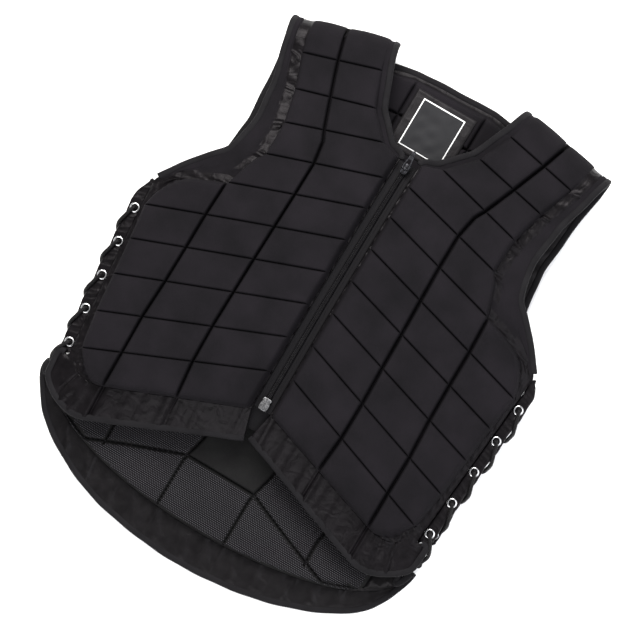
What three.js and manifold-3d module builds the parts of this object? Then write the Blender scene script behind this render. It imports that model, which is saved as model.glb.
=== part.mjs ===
// An equestrian body protector lying on its back: a padded vest with a front zip, laced sides and a dropped tail.
// +Z is up, the neck points to +Y and the wearer's left side is +X. The floor is Z = 0. Sizes are in millimetres.
import * as THREE from 'three';
import Module from 'manifold-3d';
import { mergeVertices } from 'three/addons/utils/BufferGeometryUtils.js';

const wasm = await Module();
wasm.setup();

// The whole vest
const length = 650;            // from the shoulder folds to the end of the tail
const width = 506;             // across the laced sides
const chestHeight = 101;       // floor to the top of the chest blocks
const clearance = 0.3;         // gap between pieces that touch

// Foam blocks and the cover round them
const foamThickness = 22;
const coverThickness = 6;      // gathered cover outside the foam
const foamBevel = 4;           // lean of the blocks' outer walls
const longGrooveWidth = 6;
const longGrooveDepth = 14;
const rowGrooveWidth = 5;
const rowGrooveDepth = 8;
const foldInnerRadius = 5;     // inside of the shoulder fold
const halfOffset = 2;          // how far each half lies above or below the middle, along the vest
const sideSlant = 0.042;       // and how much more of it for each millimetre out to the side
const neckCover = 8;           // cover between the neck edge and the foam
const zipCover = 1.7;          // cover between the zip tape and the foam

// Zip
const zipTapeWidth = 22;       // both tapes and the coil
const zipTapeThickness = 1.2;
const zipCoilWidth = 6;
const zipCoilThickness = 2.2;
const zipSliderLength = 13;
const zipSliderWidth = 11;
const zipSliderThickness = 3;
const zipPullLength = 23;
const zipPullWidth = 9;
const zipPullThickness = 1.6;
const zipPinRadius = 1;
const zipBoxLength = 15;
const zipBoxThickness = 4;
const zipBoxWidth = 11;
const zipGuardWidth = 30;
const zipGuardThickness = 2;
const zipGuardGap = 0.9;       // below the lining, clear of its slanting rows
const zipGuardDrop = 26;       // how far the guard runs below the zip
const zipSliderRoom = 0.6;     // slider over the coil, clear of its slope
const zipLugWidth = 2.4;
const zipLugRadius = 2.2;
const zipPullSlot = 11;        // length of the pull's legs
const hemGap = 3;              // half of the gap between the two hems under the zip

// Lacing strips, eyelets and laces
const stripWidth = 13;
const stripThickness = 4;
const eyeletCount = 5;
const eyeletHole = 6.7;        // diameters
const eyeletBarrel = 8;
const eyeletFlange = 12;
const eyeletRimHeight = 1.3;
const laceDiameter = 4.6;
const knotDiameter = 9.5;
const laceRise = 4.5;          // height of the lace's middle over an eyelet
const laceReach = 2.6;         // how far the lace passes outside a strip

// Neck patch and its label
const patchWidth = 78;
const patchLength = 74;
const patchThickness = 1;
const labelWidth = 50;
const labelLength = 60;
const labelDrop = 4.5;           // label's middle below the patch's middle
const labelThickness = 0.8;

// Bindings
const bindingWidth = 5;
const bindingLip = 0.8;        // how far a binding is thicker than the cover on each face
const straightness = 0.15;     // an edge that bends less than this is straight

const halfLength = length / 2;
const halfWidth = width / 2;
const foldRadius = foldInnerRadius + foamThickness;
const foldLining = foldRadius + clearance + foldInnerRadius;   // lining of a front strap where its fold begins
const chestLining = chestHeight - foamThickness;
const foldAngles = [0, 30, 60, 90];
const zipEdge = zipTapeWidth / 2 + clearance;

// Names the columns of a table, one object for each row.
function table(names, rows) {
  return rows.map((row) => Object.fromEntries(names.map((name, k) => [name, row[k]])));
}

// Row lines of a front half. at: height of the line on the zip, in half lengths; fall: drop towards the side;
// neck, split, arm, rim, side: where it crosses the neck edge, the long grooves, the armhole edge and the side,
// in half widths; crown, flank: height of the lining at the zip and at the side, from fold (0) to chest (1);
// raised: how far the cover is raised off the lining, in shares of its room; bend: how sharply the line's outer
// end turns up; groove: 1 where the line is a groove.
const frontRows = table(
  ['at', 'fall', 'neck', 'split', 'arm', 'rim', 'side', 'crown', 'flank', 'raised', 'bend', 'groove'],
  [
    [0.986, 0.23, 0.290, 0.534, 0.690, 0.769, 0.925, 0.00, 0.00, 0.95, 0, 0],
    [0.935, 0.25, 0.271, 0.517, 0.676, 0.755, 0.925, 0.06, 0.02, 0.70, 0, 1],
    [0.798, 0.25, 0.202, 0.457, 0.618, 0.710, 0.925, 0.25, 0.12, 0.25, 0, 1],
    [0.684, 0.29, 0.086, 0.399, 0.578, 0.690, 0.925, 0.55, 0.20, 0, 0, 1],
    [0.642, 0.29, 0.000, 0.375, 0.574, 0.694, 0.925, 0.66, 0.22, 0, 0, 0],
    [0.554, 0.29, 0.000, 0.356, 0.572, 0.725, 0.925, 0.81, 0.25, 0, 0, 1],
    [0.529, 0.30, 0.000, 0.356, 0.605, 0.765, 0.925, 0.84, 0.25, 0, -1.01, 0],
    [0.433, 0.31, 0.000, 0.356, 0.651, 0.775, 0.901, 0.94, 0.25, 0, -0.455, 1],
    [0.306, 0.32, 0.000, 0.360, 0.657, 0.775, 0.934, 0.98, 0.25, 0, 0, 1],
    [0.179, 0.33, 0.000, 0.364, 0.657, 0.775, 0.912, 1.00, 0.25, 0, 0, 1],
    [0.053, 0.35, 0.000, 0.367, 0.659, 0.775, 0.893, 1.00, 0.25, 0, 0, 1],
    [-0.077, 0.375, 0.000, 0.371, 0.668, 0.775, 0.874, 0.94, 0.25, 0, 0, 1],
    [-0.210, 0.395, 0.000, 0.369, 0.666, 0.775, 0.847, 0.83, 0.25, 0, 0, 1],
    [-0.360, 0.37, 0.000, 0.353, 0.666, 0.775, 0.810, 0.68, 0.23, 0, 2.40, 0],
    [-0.468, 0.40, 0.000, 0.348, 0.664, 0.775, 0.862, 0.38, 0.20, 0, 2.78, 0],
  ],
);
// The same places at the top of the shoulder fold, where the front meets the back.
const shoulderTop = { neck: 0.320, split: 0.561, arm: 0.711, rim: 0.792, foam: 0.711, edge: 0.792 };
const neckCornerRow = 4;       // the row line that meets the top of the zip
const armholeRow = 6;          // the row line that runs round the bottom of the armhole
const chestRow = 9;            // the highest row line
const foamEndRow = 13;
const hemRow = 14;

// Rows of the back. at: height on the middle line, in half lengths; fall: drop towards the side; level: half of the
// stretch that runs level, in half widths; foam, edge: edge of the foam and of the cover, in half widths; lift: how
// far the side curls up, in shares of sideLift; rise: how far the cover lies above the foam's underside, in shares
// of its room; groove: 1 where the line is a groove.
const backRows = table(
  ['at', 'fall', 'level', 'foam', 'edge', 'lift', 'rise', 'groove'],
  [
    [0.986, 0.23, 0.348, 0.702, 0.784, 0.0, 0.1, 0],
    [0.782, 0.05, 0.178, 0.680, 0.765, 0.0, 0.5, 1],
    [0.546, 0.05, 0.178, 0.665, 0.738, 0.0, 0.8, 1],
    [0.302, 0.00, 0.178, 0.680, 0.775, 0.3, 0.5, 1],
    [0.200, 0.05, 0.178, 0.800, 0.885, 0.8, 0.2, 0],
    [0.134, 0.03, 0.178, 0.860, 0.000, 1.0, 0.0, 0],
    [0.073, 0.05, 0.178, 0.860, 0.000, 1.0, 0.0, 1],
    [-0.155, 0.10, 0.178, 0.860, 0.000, 1.0, 0.0, 1],
    [-0.385, 0.15, 0.178, 0.850, 0.000, 1.0, 0.0, 1],
    [-0.490, 0.08, 0.178, 0.845, 0.000, 0.9, 0.0, 0],
    [-0.590, 0.387, 0.178, 0.800, 0.984, 0.5, 0.0, 1],
  ],
);
// Lines round the tail, each an ellipse. depth: its lowest place, in half lengths.
const tailRows = table(
  ['depth', 'foam', 'edge', 'top'],
  [
    [0.862, 0.750, 0.984, 1],
    [0.874, 0.735, 0.976, 0],
    [0.930, 0.720, 0.945, 0],
    [0.984, 0.700, 0.875, 0],
  ],
);
const backGrooves = [0.178, 0.540];      // long grooves of the back, in half widths
const undersideGroove = 3;               // depth of the grooves under the back
const neckSide = 0.348;                  // inner edge of the straps, in half widths
const sideLift = 18;                     // curl of the back's sides at the lacing strips
const curlStart = 0.72;                  // where that curl starts, in half widths
const tailMiddle = -0.585;               // middle of the tail's ellipses, in half lengths
const tailWidth = 0.99;                  // half width of the tail's ellipses, in half widths

// Lacing strips and eyelets, in half lengths. bottom: lower end of the strips; first, pitch: places of the eyelets;
// middle: middle line of a strip at half the length, in half widths; lean: how far it leans out; top: its upper end.
const lacing = { bottom: -0.514, first: 0.049, pitch: 0.1305 };
const frontStrip = { middle: 0.9665, lean: 0.085, top: 0.140 };
const backStrip = { middle: 0.950, lean: 0.044, top: 0.098 };
// Where the slant of the back's sides runs out, in half lengths.
const evenBelow = { from: -0.50, to: -0.66 };

const black = (roughness) => new THREE.MeshStandardMaterial({ color: 0x26262a, roughness, metalness: 0 });
const materials = {
  blockCloth: black(0.8),
  gatheredNylon: black(0.45),
  bindingTape: black(0.6),
  coil: black(0.5),
  lace: black(0.7),
  label: new THREE.MeshStandardMaterial({ color: 0x6d6f73, roughness: 0.7, metalness: 0 }),
  silver: new THREE.MeshStandardMaterial({ color: 0xc4c4c6, roughness: 0.3, metalness: 1 }),
  gunmetal: new THREE.MeshStandardMaterial({ color: 0x4a4a4e, roughness: 0.35, metalness: 1 }),
};

const vest = new THREE.Group();

function addMesh(name, geometry, material) {
  const mesh = new THREE.Mesh(geometry, material);
  mesh.name = name;
  vest.add(mesh);
  return mesh;
}

// Values of a table at a height between two of its rows.
function rowAt(rows, at) {
  let k = 0;
  while (k < rows.length - 2 && rows[k + 1].at > at) k += 1;
  const share = (at - rows[k].at) / (rows[k + 1].at - rows[k].at);
  const mixed = {};
  for (const name of Object.keys(rows[k])) {
    mixed[name] = THREE.MathUtils.lerp(rows[k][name], rows[k + 1][name], share);
  }
  mixed.at = at;
  return mixed;
}

// One closed body from two grids of points, upper[j][i] and lower[j][i]. Cells that are not kept stay open,
// and a wall closes each edge of what is kept. With i to +X and j to -Y the upper grid faces up.
function gridSolid(upper, lower, kept, mirrored) {
  const rows = upper.length;
  const columns = upper[0].length;
  const positions = [];
  const index = new Map();
  const faces = [];
  const vertex = (grid, j, i) => {
    const key = `${grid === upper}:${j}:${i}`;
    if (!index.has(key)) {
      index.set(key, positions.length / 3);
      positions.push(...grid[j][i].toArray());
    }
    return index.get(key);
  };
  const face = (a, b, c) => faces.push(...(mirrored ? [a, c, b] : [a, b, c]));
  const isKept = (j, i) => j >= 0 && i >= 0 && j < rows - 1 && i < columns - 1 && kept(j, i);
  for (let j = 0; j < rows - 1; j += 1) {
    for (let i = 0; i < columns - 1; i += 1) {
      if (!isKept(j, i)) continue;
      const corners = [[j, i], [j + 1, i], [j + 1, i + 1], [j, i + 1]];
      const beyond = [[j, i - 1], [j + 1, i], [j, i + 1], [j - 1, i]];
      const [a, b, c, d] = corners.map(([v, u]) => vertex(upper, v, u));
      const [e, f, g, h] = corners.map(([v, u]) => vertex(lower, v, u));
      face(a, b, c);
      face(a, c, d);
      face(e, g, f);
      face(e, h, g);
      for (let k = 0; k < 4; k += 1) {
        if (isKept(...beyond[k])) continue;
        const [p, q] = [corners[k], corners[(k + 1) % 4]];
        const [top, topNext] = [vertex(upper, ...p), vertex(upper, ...q)];
        const [low, lowNext] = [vertex(lower, ...p), vertex(lower, ...q)];
        face(topNext, top, low);
        face(topNext, low, lowNext);
      }
    }
  }
  const geometry = new THREE.BufferGeometry();
  geometry.setAttribute('position', new THREE.Float32BufferAttribute(positions, 3));
  geometry.setIndex(faces);
  return geometry;
}

// One closed strip along stations; each station is its cross-section of points, in the same order all along.
function sweptSolid(sections, mirrored) {
  const sides = sections[0].length;
  const positions = sections.flat().flatMap((point) => point.toArray());
  const faces = [];
  const face = (a, b, c) => faces.push(...(mirrored ? [a, c, b] : [a, b, c]));
  for (let j = 0; j < sections.length - 1; j += 1) {
    for (let k = 0; k < sides; k += 1) {
      const next = (k + 1) % sides;
      const [a, b] = [j * sides + k, j * sides + next];
      face(a, b, b + sides);
      face(a, b + sides, a + sides);
    }
  }
  const last = (sections.length - 1) * sides;
  for (let k = 1; k < sides - 1; k += 1) {
    face(0, k + 1, k);
    face(last, last + k, last + k + 1);
  }
  const geometry = new THREE.BufferGeometry();
  geometry.setAttribute('position', new THREE.Float32BufferAttribute(positions, 3));
  geometry.setIndex(faces);
  return geometry;
}

// How far a half is moved along the vest at x, up on one side and down on the other.
function slantAt(side, x) {
  return side * (halfOffset + sideSlant * x);
}

// The line of a shoulder fold at an angle, from level (90 degrees) to its top (0).
function foldLine(row, angle) {
  const share = Math.cos(THREE.MathUtils.degToRad(angle));
  const line = { ...row, angle, kind: 'fold', part: 0 };
  for (const name of Object.keys(shoulderTop)) {
    if (name in row) line[name] = THREE.MathUtils.lerp(row[name], shoulderTop[name], share);
  }
  return line;
}

// Middle line of a lacing strip at height y.
function stripMiddle(strip, y) {
  return strip.middle * halfWidth + strip.lean * y;
}

// Height of the front's lining at x on a row.
function liningHeight(row, x) {
  const across = row.flank + (row.crown - row.flank) * (1 - (x / halfWidth) ** 2);
  return foldLining + across * (chestLining - foldLining);
}

// Height of the row line at x, before the shoulder fold.
function rowHeight(row, x) {
  const turned = Math.max(0, x - row.arm * halfWidth);
  return row.at * halfLength - row.fall * x + (row.bend / halfWidth) * turned ** 2;
}

// Lines down a front half from the shoulder fold to the hem, each with its values and its kind.
function frontLines() {
  const lines = foldAngles.map((angle) => foldLine(frontRows[0], angle));
  const halfGroove = rowGrooveWidth / 2 / halfLength;
  for (let k = 1; k < foamEndRow; k += 1) {
    const row = frontRows[k];
    if (row.groove) {
      for (const offset of [halfGroove, 0, -halfGroove]) {
        const kind = offset ? 'top' : 'groove';
        const part = k - Math.sign(offset) * 0.1;
        lines.push({ ...rowAt(frontRows, row.at + offset), angle: 90, kind, part });
      }
    } else {
      lines.push({ ...row, angle: 90, kind: 'top', part: k });
    }
  }
  const end = frontRows[foamEndRow];
  const bevel = foamBevel / halfLength;
  lines.push({ ...end, at: end.at + bevel, angle: 90, kind: 'top', part: foamEndRow - 0.1 });
  lines.push({ ...end, angle: 90, kind: 'cover', part: foamEndRow });
  lines.push({ ...frontRows[hemRow], angle: 90, kind: 'cover', part: hemRow });
  return lines;
}

const sideStart = armholeRow + 1;        // the row where the side column begins

// Columns of a front half, from the zip or the neck out to the side; a groove column has a foam edge on each side.
const foamColumn = 1;
const splitColumn = 4;
const armColumn = 7;
const rimColumn = 8;
const sideTopColumn = 9;
const edgeColumn = 11;
const edgeSearchSteps = 6;               // rounds in which the side's edge settles against the lacing strip

// Places of a front half's columns across a line, from the zip or the neck out to the side.
function frontColumns(line) {
  const neckGap = line.neck > 0 ? neckCover : zipCover;
  const foamEdge = zipEdge + zipCover + line.neck * halfWidth;
  const half = longGrooveWidth / 2;
  const split = line.split * halfWidth;
  const arm = line.arm * halfWidth;
  const side = line.side * halfWidth;
  const beside = line.part > sideStart - 1 ? arm + half : line.rim * halfWidth;
  const columns = [
    foamEdge - neckGap, foamEdge, foamEdge + foamBevel, split - half, split, split + half,
    arm - half, arm, beside, side - foamBevel, side,
  ];
  let edge = side;
  for (let k = 0; k < edgeSearchSteps; k += 1) {
    const y = rowHeight(line, edge);
    const middle = stripMiddle(frontStrip, y);
    const below = y < lacing.bottom * halfLength - bindingWidth;
    edge = below ? middle + stripWidth / 2 : middle - stripWidth / 2 - clearance;
  }
  columns.push(edge);
  if (line.part === hemRow) columns[0] = hemGap;
  return columns;
}

// Thickness of the cloth at a column of a line.
function frontThickness(line, i) {
  const inSide = line.part > sideStart;
  if (line.kind === 'cover') return coverThickness;
  if (i <= foamColumn || i > sideTopColumn) return coverThickness;
  if (i >= armColumn && !inSide) return coverThickness;
  if (i === splitColumn || i === armColumn) return foamThickness - longGrooveDepth;
  if (line.kind === 'groove') return foamThickness - rowGrooveDepth;
  return foamThickness;
}

// How far the cloth's underside is raised off the lining at a column of a line.
function frontRaise(line, i) {
  const inCover = i <= foamColumn || (i >= armColumn && line.part < armholeRow);
  return inCover ? line.raised * (foamThickness - coverThickness) : 0;
}

// A point on the cloth at distance deep from the lining, x before mirroring.
function frontPoint(line, x, deep, side) {
  const y = rowHeight(line, x) + slantAt(side, x);
  if (line.kind !== 'fold') return new THREE.Vector3(side * x, y, liningHeight(line, x) + deep);
  const angle = THREE.MathUtils.degToRad(line.angle);
  const radius = foldInnerRadius + deep;
  const middle = foldRadius + clearance;
  return new THREE.Vector3(side * x, y + radius * Math.cos(angle), middle + radius * Math.sin(angle));
}

function frontPanel(side) {
  const lines = frontLines();
  const lining = [];
  const outside = [];
  for (const line of lines) {
    const columns = frontColumns(line);
    const raise = columns.map((_, i) => frontRaise(line, i));
    lining.push(columns.map((x, i) => frontPoint(line, x, raise[i], side)));
    outside.push(columns.map((x, i) => frontPoint(line, x, raise[i] + frontThickness(line, i), side)));
  }
  const kept = (j, i) => i < rimColumn || lines[j].part >= armholeRow;
  return { lines, lining, outside, geometry: gridSolid(outside, lining, kept, side < 0) };
}

// A narrow binding along the edge of a piece. Each station is the edge's two points and the way out of the cloth.
function binding(stations, mirrored) {
  const sections = stations.map(({ low, high, out }) => {
    const up = high.clone().sub(low).normalize();
    const near = out.clone().multiplyScalar(clearance);
    const far = out.clone().multiplyScalar(clearance + bindingWidth);
    const bottom = low.clone().addScaledVector(up, -bindingLip);
    const top = high.clone().addScaledVector(up, bindingLip);
    return [
      bottom.clone().add(near), bottom.clone().add(far), top.clone().add(far), top.clone().add(near),
    ];
  });
  return sweptSolid(sections, mirrored);
}

// Stations of a binding from the points of an edge. The way out lies across the edge and across the cloth, and
// at a corner it is as long as a mitre.
function edgeStations(lows, highs, turn) {
  const normals = lows.slice(1).map((next, k) => {
    const along = next.clone().sub(lows[k]);
    const up = highs[k].clone().sub(lows[k]).add(highs[k + 1]).sub(next);
    return along.cross(up).normalize().multiplyScalar(turn);
  });
  return lows.map((low, k) => {
    const before = normals[Math.max(0, k - 1)];
    const after = normals[Math.min(normals.length - 1, k)];
    const out = before.clone().add(after).normalize();
    return { low, high: highs[k], out: out.divideScalar(Math.max(0.5, out.dot(after))) };
  });
}

// Joins two closed bodies into one.
function joined(first, second) {
  const solids = [first, second].map((geometry) => {
    const bare = geometry.clone();
    bare.deleteAttribute('normal');
    bare.deleteAttribute('uv');
    const merged = mergeVertices(bare, 1e-4);
    return new wasm.Manifold(new wasm.Mesh({
      numProp: 3,
      vertProperties: new Float32Array(merged.attributes.position.array),
      triVerts: new Uint32Array(merged.index.array),
    }));
  });
  const { vertProperties, triVerts } = solids[0].add(solids[1]).getMesh();
  const geometry = new THREE.BufferGeometry();
  geometry.setAttribute('position', new THREE.BufferAttribute(new Float32Array(vertProperties), 3));
  geometry.setIndex([...triVerts]);
  return geometry;
}

// An ellipse round the tail, at x.
function tailHeight(x, depth) {
  const middle = tailMiddle * halfLength;
  const across = Math.min(1, Math.abs(x) / (tailWidth * halfWidth));
  return middle - (depth * halfLength + middle) * Math.sqrt(1 - across ** 2);
}

// Lines down the back from the shoulder fold to the tail's end.
function backLines() {
  const lines = foldAngles.map((angle) => foldLine(backRows[0], angle));
  const halfGroove = rowGrooveWidth / 2 / halfLength;
  const neckFoam = neckCover / halfLength;
  const neckTop = (neckCover + foamBevel) / halfLength;
  for (const [offset, kind] of [[neckFoam, 'neckFoam'], [neckTop, 'top']]) {
    const { edge } = rowAt(backRows, backRows[0].at - offset);
    lines.push({ ...backRows[0], at: backRows[0].at - offset, edge, kind });
  }
  for (const row of backRows.slice(1)) {
    for (const offset of row.groove ? [halfGroove, 0, -halfGroove] : [0]) {
      const kind = row.groove && offset === 0 ? 'groove' : 'top';
      const room = rowGrooveWidth + offset * halfLength;
      lines.push({ ...row, at: row.at + offset, room, kind });
    }
  }
  for (const { depth, foam, edge, top } of tailRows) {
    lines.push({ depth, foam, edge, lift: 0, rise: 0, kind: top ? 'top' : 'cover' });
  }
  return lines;
}

// Height of a line of the back at x; the last grooves run out along the end of the tail's blocks.
function backHeight(line, x) {
  if (line.depth) return tailHeight(x, line.depth);
  const straight = line.at * halfLength - line.fall * Math.max(line.level * halfWidth, Math.abs(x));
  if (!line.room) return straight;
  return Math.max(straight, tailHeight(x, tailRows[0].depth) + line.room);
}

// Columns of the back on one side of the middle.
const backGrooveColumns = [1, 6];
const tailGrooveColumns = [1];
const strapColumn = 3;
const backFoamColumn = 9;

// Places of the back's columns on one side, from the middle out.
function backColumns(line) {
  const half = longGrooveWidth / 2;
  const [first, second] = backGrooves.map((share) => share * halfWidth);
  const strap = neckSide * halfWidth;
  const foamEdge = line.foam * halfWidth;
  let edge = line.edge * halfWidth;
  if (!line.edge) {
    edge = halfWidth;
    for (let k = 0; k < edgeSearchSteps; k += 1) {
      edge = stripMiddle(backStrip, backHeight(line, edge)) - stripWidth / 2 - clearance;
    }
  }
  return [
    first - half, first, first + half, strap, strap + neckCover + foamBevel,
    second - half, second, second + half, foamEdge - foamBevel, foamEdge, edge,
  ];
}

function backThickness(line, c) {
  const overNeck = line.kind === 'neckFoam' || line.angle === 90;
  if (line.kind === 'cover' || c >= backFoamColumn) return coverThickness;
  if (line.kind === 'fold' && c === strapColumn) return coverThickness;
  if (overNeck && c <= strapColumn) return coverThickness;
  const grooveColumns = line.depth ? tailGrooveColumns : backGrooveColumns;
  if (grooveColumns.includes(c)) return foamThickness - longGrooveDepth;
  if (line.kind === 'groove') return foamThickness - rowGrooveDepth;
  return foamThickness;
}

// The two faces of the back at column c of a line: the lining above and the underside below.
function backPair(line, c, side) {
  const out = backColumns(line)[c];
  const x = side * out;
  const level = backHeight(line, x);
  const even = THREE.MathUtils.smoothstep(level / halfLength, evenBelow.to, evenBelow.from);
  const y = level + even * slantAt(side, out) * Math.min(1, out / (neckSide * halfWidth));
  const thick = backThickness(line, c);
  if (line.kind === 'fold') {
    const angle = THREE.MathUtils.degToRad(line.angle);
    const at = (radius) => new THREE.Vector3(
      x, y + radius * Math.cos(angle), foldRadius - radius * Math.sin(angle));
    const room = foamThickness - coverThickness;
    const inner = foldInnerRadius + (thick === coverThickness ? (1 - line.rise) * room : 0);
    return [at(inner), at(inner + thick)];
  }
  const start = curlStart * halfWidth;
  const end = stripMiddle(backStrip, 0) - stripWidth / 2;
  const curl = Math.max(0, (Math.abs(x) - start) / (end - start));
  const floor = line.lift * sideLift * curl ** 2;
  if (thick === coverThickness) {
    const room = foamThickness - coverThickness - bindingLip;
    const low = floor + bindingLip + line.rise * room;
    return [new THREE.Vector3(x, y, low + thick), new THREE.Vector3(x, y, low)];
  }
  const cut = thick < foamThickness ? undersideGroove : 0;
  return [new THREE.Vector3(x, y, floor + thick), new THREE.Vector3(x, y, floor + cut)];
}

function backPanel() {
  const lines = backLines();
  const lining = [];
  const under = [];
  const half = backColumns(lines[0]).map((_, c) => c);
  for (const line of lines) {
    const left = half.slice().reverse().map((c) => backPair(line, c, -1));
    const right = half.map((c) => backPair(line, c, 1));
    const pairs = [...left, ...right];
    lining.push(pairs.map((pair) => pair[0]));
    under.push(pairs.map((pair) => pair[1]));
  }
  const last = half.length - 1;
  const neckCells = [last - strapColumn, last + strapColumn];
  const kept = (j, i) => j >= foldAngles.length - 1 || i < neckCells[0] || i > neckCells[1];
  return { lines, lining, under, geometry: gridSolid(lining, under, kept, false) };
}

// Height of the pieces that follow the zip: they lie by the lower of the two halves.
const offsetAtZip = slantAt(1, zipEdge);
function zipLining(y) {
  const heights = [-offsetAtZip, offsetAtZip].map((offset) => {
    const at = (y + offset + frontRows[foamEndRow].fall * zipEdge) / halfLength;
    return liningHeight(rowAt(frontRows, at), 0);
  });
  return Math.min(...heights);
}

const neckCorner = frontRows[neckCornerRow];
const zipTop = rowHeight(neckCorner, zipEdge) - offsetAtZip - clearance - zipTapeThickness;
const zipBottom = rowHeight(frontRows[foamEndRow], zipEdge) + offsetAtZip + clearance;
const zipSteps = 10;

// A flat ribbon along the zip between two places across it, from y = start down to y = end.
function zipRibbon(from, to, low, thickness, start, end) {
  const sections = [];
  for (let k = 0; k <= zipSteps; k += 1) {
    const y = THREE.MathUtils.lerp(start, end, k / zipSteps);
    const z = zipLining(y) + low;
    sections.push([
      new THREE.Vector3(from, y, z), new THREE.Vector3(from, y, z + thickness),
      new THREE.Vector3(to, y, z + thickness), new THREE.Vector3(to, y, z),
    ]);
  }
  return sweptSolid(sections, true);
}

function rectangle(x0, x1, y0, y1) {
  return new THREE.Shape([
    new THREE.Vector2(x0, y0), new THREE.Vector2(x1, y0), new THREE.Vector2(x1, y1), new THREE.Vector2(x0, y1),
  ]);
}

function plate(x0, x1, y0, y1, thickness) {
  return new THREE.ExtrudeGeometry(rectangle(x0, x1, y0, y1), { depth: thickness, bevelEnabled: false });
}

function circlePath(radius, x, y, points) {
  const round = radius / Math.cos(Math.PI / points);
  const path = new THREE.Path();
  for (let k = 0; k <= points; k += 1) {
    const angle = (2 * Math.PI * k) / points;
    const [px, py] = [x + round * Math.cos(angle), y + round * Math.sin(angle)];
    if (k === 0) path.moveTo(px, py);
    else path.lineTo(px, py);
  }
  return path;
}

const sides = [[-1, 'left'], [1, 'right']];
const eyeletSides = 8;
const frontStripZ = foldLining + frontRows[chestRow].flank * (chestLining - foldLining) + clearance;
const backStripZ = sideLift - clearance;

const eyeletHeights = Array.from(
  { length: eyeletCount }, (_, k) => (lacing.first - k * lacing.pitch) * halfLength);

function stripPlate(strip, side) {
  const ends = [strip.top * halfLength, lacing.bottom * halfLength];
  const place = (y, out) => new THREE.Vector2(side * (stripMiddle(strip, y) + (out * stripWidth) / 2), y);
  const shape = new THREE.Shape([place(ends[0], -1), place(ends[1], -1), place(ends[1], 1), place(ends[0], 1)]);
  for (const y of eyeletHeights) {
    shape.holes.push(circlePath(eyeletBarrel / 2 + clearance, side * stripMiddle(strip, y), y, eyeletSides));
  }
  return new THREE.ExtrudeGeometry(shape, { depth: stripThickness, bevelEnabled: false });
}

// A metal eyelet round +Z: a barrel through the strip, and a rim on its outer face at Z = 0.
function eyeletRing() {
  const hole = eyeletHole / 2;
  const barrel = eyeletBarrel / 2;
  const flange = eyeletFlange / 2;
  const profile = [
    [hole, -stripThickness - clearance], [barrel, -stripThickness - clearance], [barrel, clearance],
    [flange, clearance], [(hole + barrel) / 2, clearance + eyeletRimHeight], [hole, -stripThickness - clearance],
  ].map(([x, y]) => new THREE.Vector2(x, y));
  return new THREE.LatheGeometry(profile, eyeletSides).rotateX(Math.PI / 2);
}

// A route through chosen points, one station on each of them.
class Route extends THREE.Curve {
  constructor(points) {
    super();
    this.points = points;
  }
  getPointAt(u, target = new THREE.Vector3()) {
    return target.copy(this.points[Math.round(u * (this.points.length - 1))]);
  }
  getSpacedPoints() {
    return this.points;
  }
  getTangentAt(u, target = new THREE.Vector3()) {
    const k = Math.round(u * (this.points.length - 1));
    const before = this.points[Math.max(0, k - 1)];
    const after = this.points[Math.min(this.points.length - 1, k + 1)];
    return target.copy(after).sub(before).normalize();
  }
}

// The lace winds down the side: up through an eyelet of the back strip and one of the front strip,
// out over the edge, and in under the back strip to the next pair.
function laceRoute(side) {
  const points = [];
  const add = (x, y, z) => points.push(new THREE.Vector3(side * x, y, z));
  const frontTop = frontStripZ + stripThickness;
  const middle = (frontStripZ + backStripZ) / 2;
  const pitch = lacing.pitch * halfLength;
  for (const [k, y] of eyeletHeights.entries()) {
    const front = stripMiddle(frontStrip, y);
    const back = stripMiddle(backStrip, y);
    const out = Math.max(front, back) + stripWidth / 2 + laceReach;
    add(back, y, backStripZ - laceRise - eyeletRimHeight);
    add(back, y, backStripZ + stripThickness + laceRise);
    add(front, y, frontStripZ - laceRise);
    add(front, y, frontTop + laceRise);
    if (k === eyeletCount - 1) break;
    add(out - laceReach / 2, y - 0.25 * pitch, frontTop + laceRise / 2);
    add(out, y - 0.5 * pitch, middle);
    add(out, y - 0.8 * pitch, backStripZ - laceRise);
  }
  return points;
}

// The lace's free end: over the edge of the front strip and down on to the back's side, where its knot lies.
function laceEnd(side) {
  const y = eyeletHeights[eyeletCount - 1];
  const front = stripMiddle(frontStrip, y);
  const frontTop = frontStripZ + stripThickness;
  return [
    [front + 8, y - 6, frontTop + 3.5], [front + 16, y - 14, 41], [front + 18, y - 25, 32],
    [front + 12, y - 34, 29],
  ].map(([x, py, z]) => new THREE.Vector3(side * x, py, z));
}

function laceTube(points) {
  const section = circlePath(laceDiameter / 2, 0, 0, eyeletSides);
  const shape = new THREE.Shape(section.getPoints().slice(0, eyeletSides));
  const route = new Route(points);
  const steps = points.length - 1;
  return new THREE.ExtrudeGeometry(shape, { steps, extrudePath: route, bevelEnabled: false });
}

function knot(middle) {
  return new THREE.IcosahedronGeometry(knotDiameter / 2, 1).translate(...middle.toArray());
}

const back = backPanel();
addMesh('back_panel', back.geometry, materials.blockCloth);

// Lists of grid places down a column and along a line.
const down = (i, from, to) => Array.from({ length: to - from + 1 }, (_, k) => [from + k, i]);
const across = (j, from, to) => Array.from({ length: to - from + 1 }, (_, k) => [j, from + k]);

// Leaves out the places where an edge runs straight, so that its binding has no short steps.
function cornersOf(path, grids) {
  const segment = new THREE.Line3();
  const nearest = new THREE.Vector3();
  const kept = [path[0]];
  for (let k = 1; k < path.length - 1; k += 1) {
    const bent = grids.some((grid) => {
      const [before, here, after] = [kept[kept.length - 1], path[k], path[k + 1]].map(([j, i]) => grid[j][i]);
      segment.set(before, after).closestPointToPoint(here, true, nearest);
      return nearest.distanceTo(here) > straightness;
    });
    if (bent) kept.push(path[k]);
  }
  return [...kept, path[path.length - 1]];
}

function bindEdge(name, path, low, high, turn) {
  const corners = cornersOf(path, [low, high]);
  const pick = (grid) => corners.map(([j, i]) => grid[j][i]);
  const stations = edgeStations(pick(low), pick(high), turn);
  addMesh(name, binding(stations, turn > 0), materials.bindingTape);
}

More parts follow.
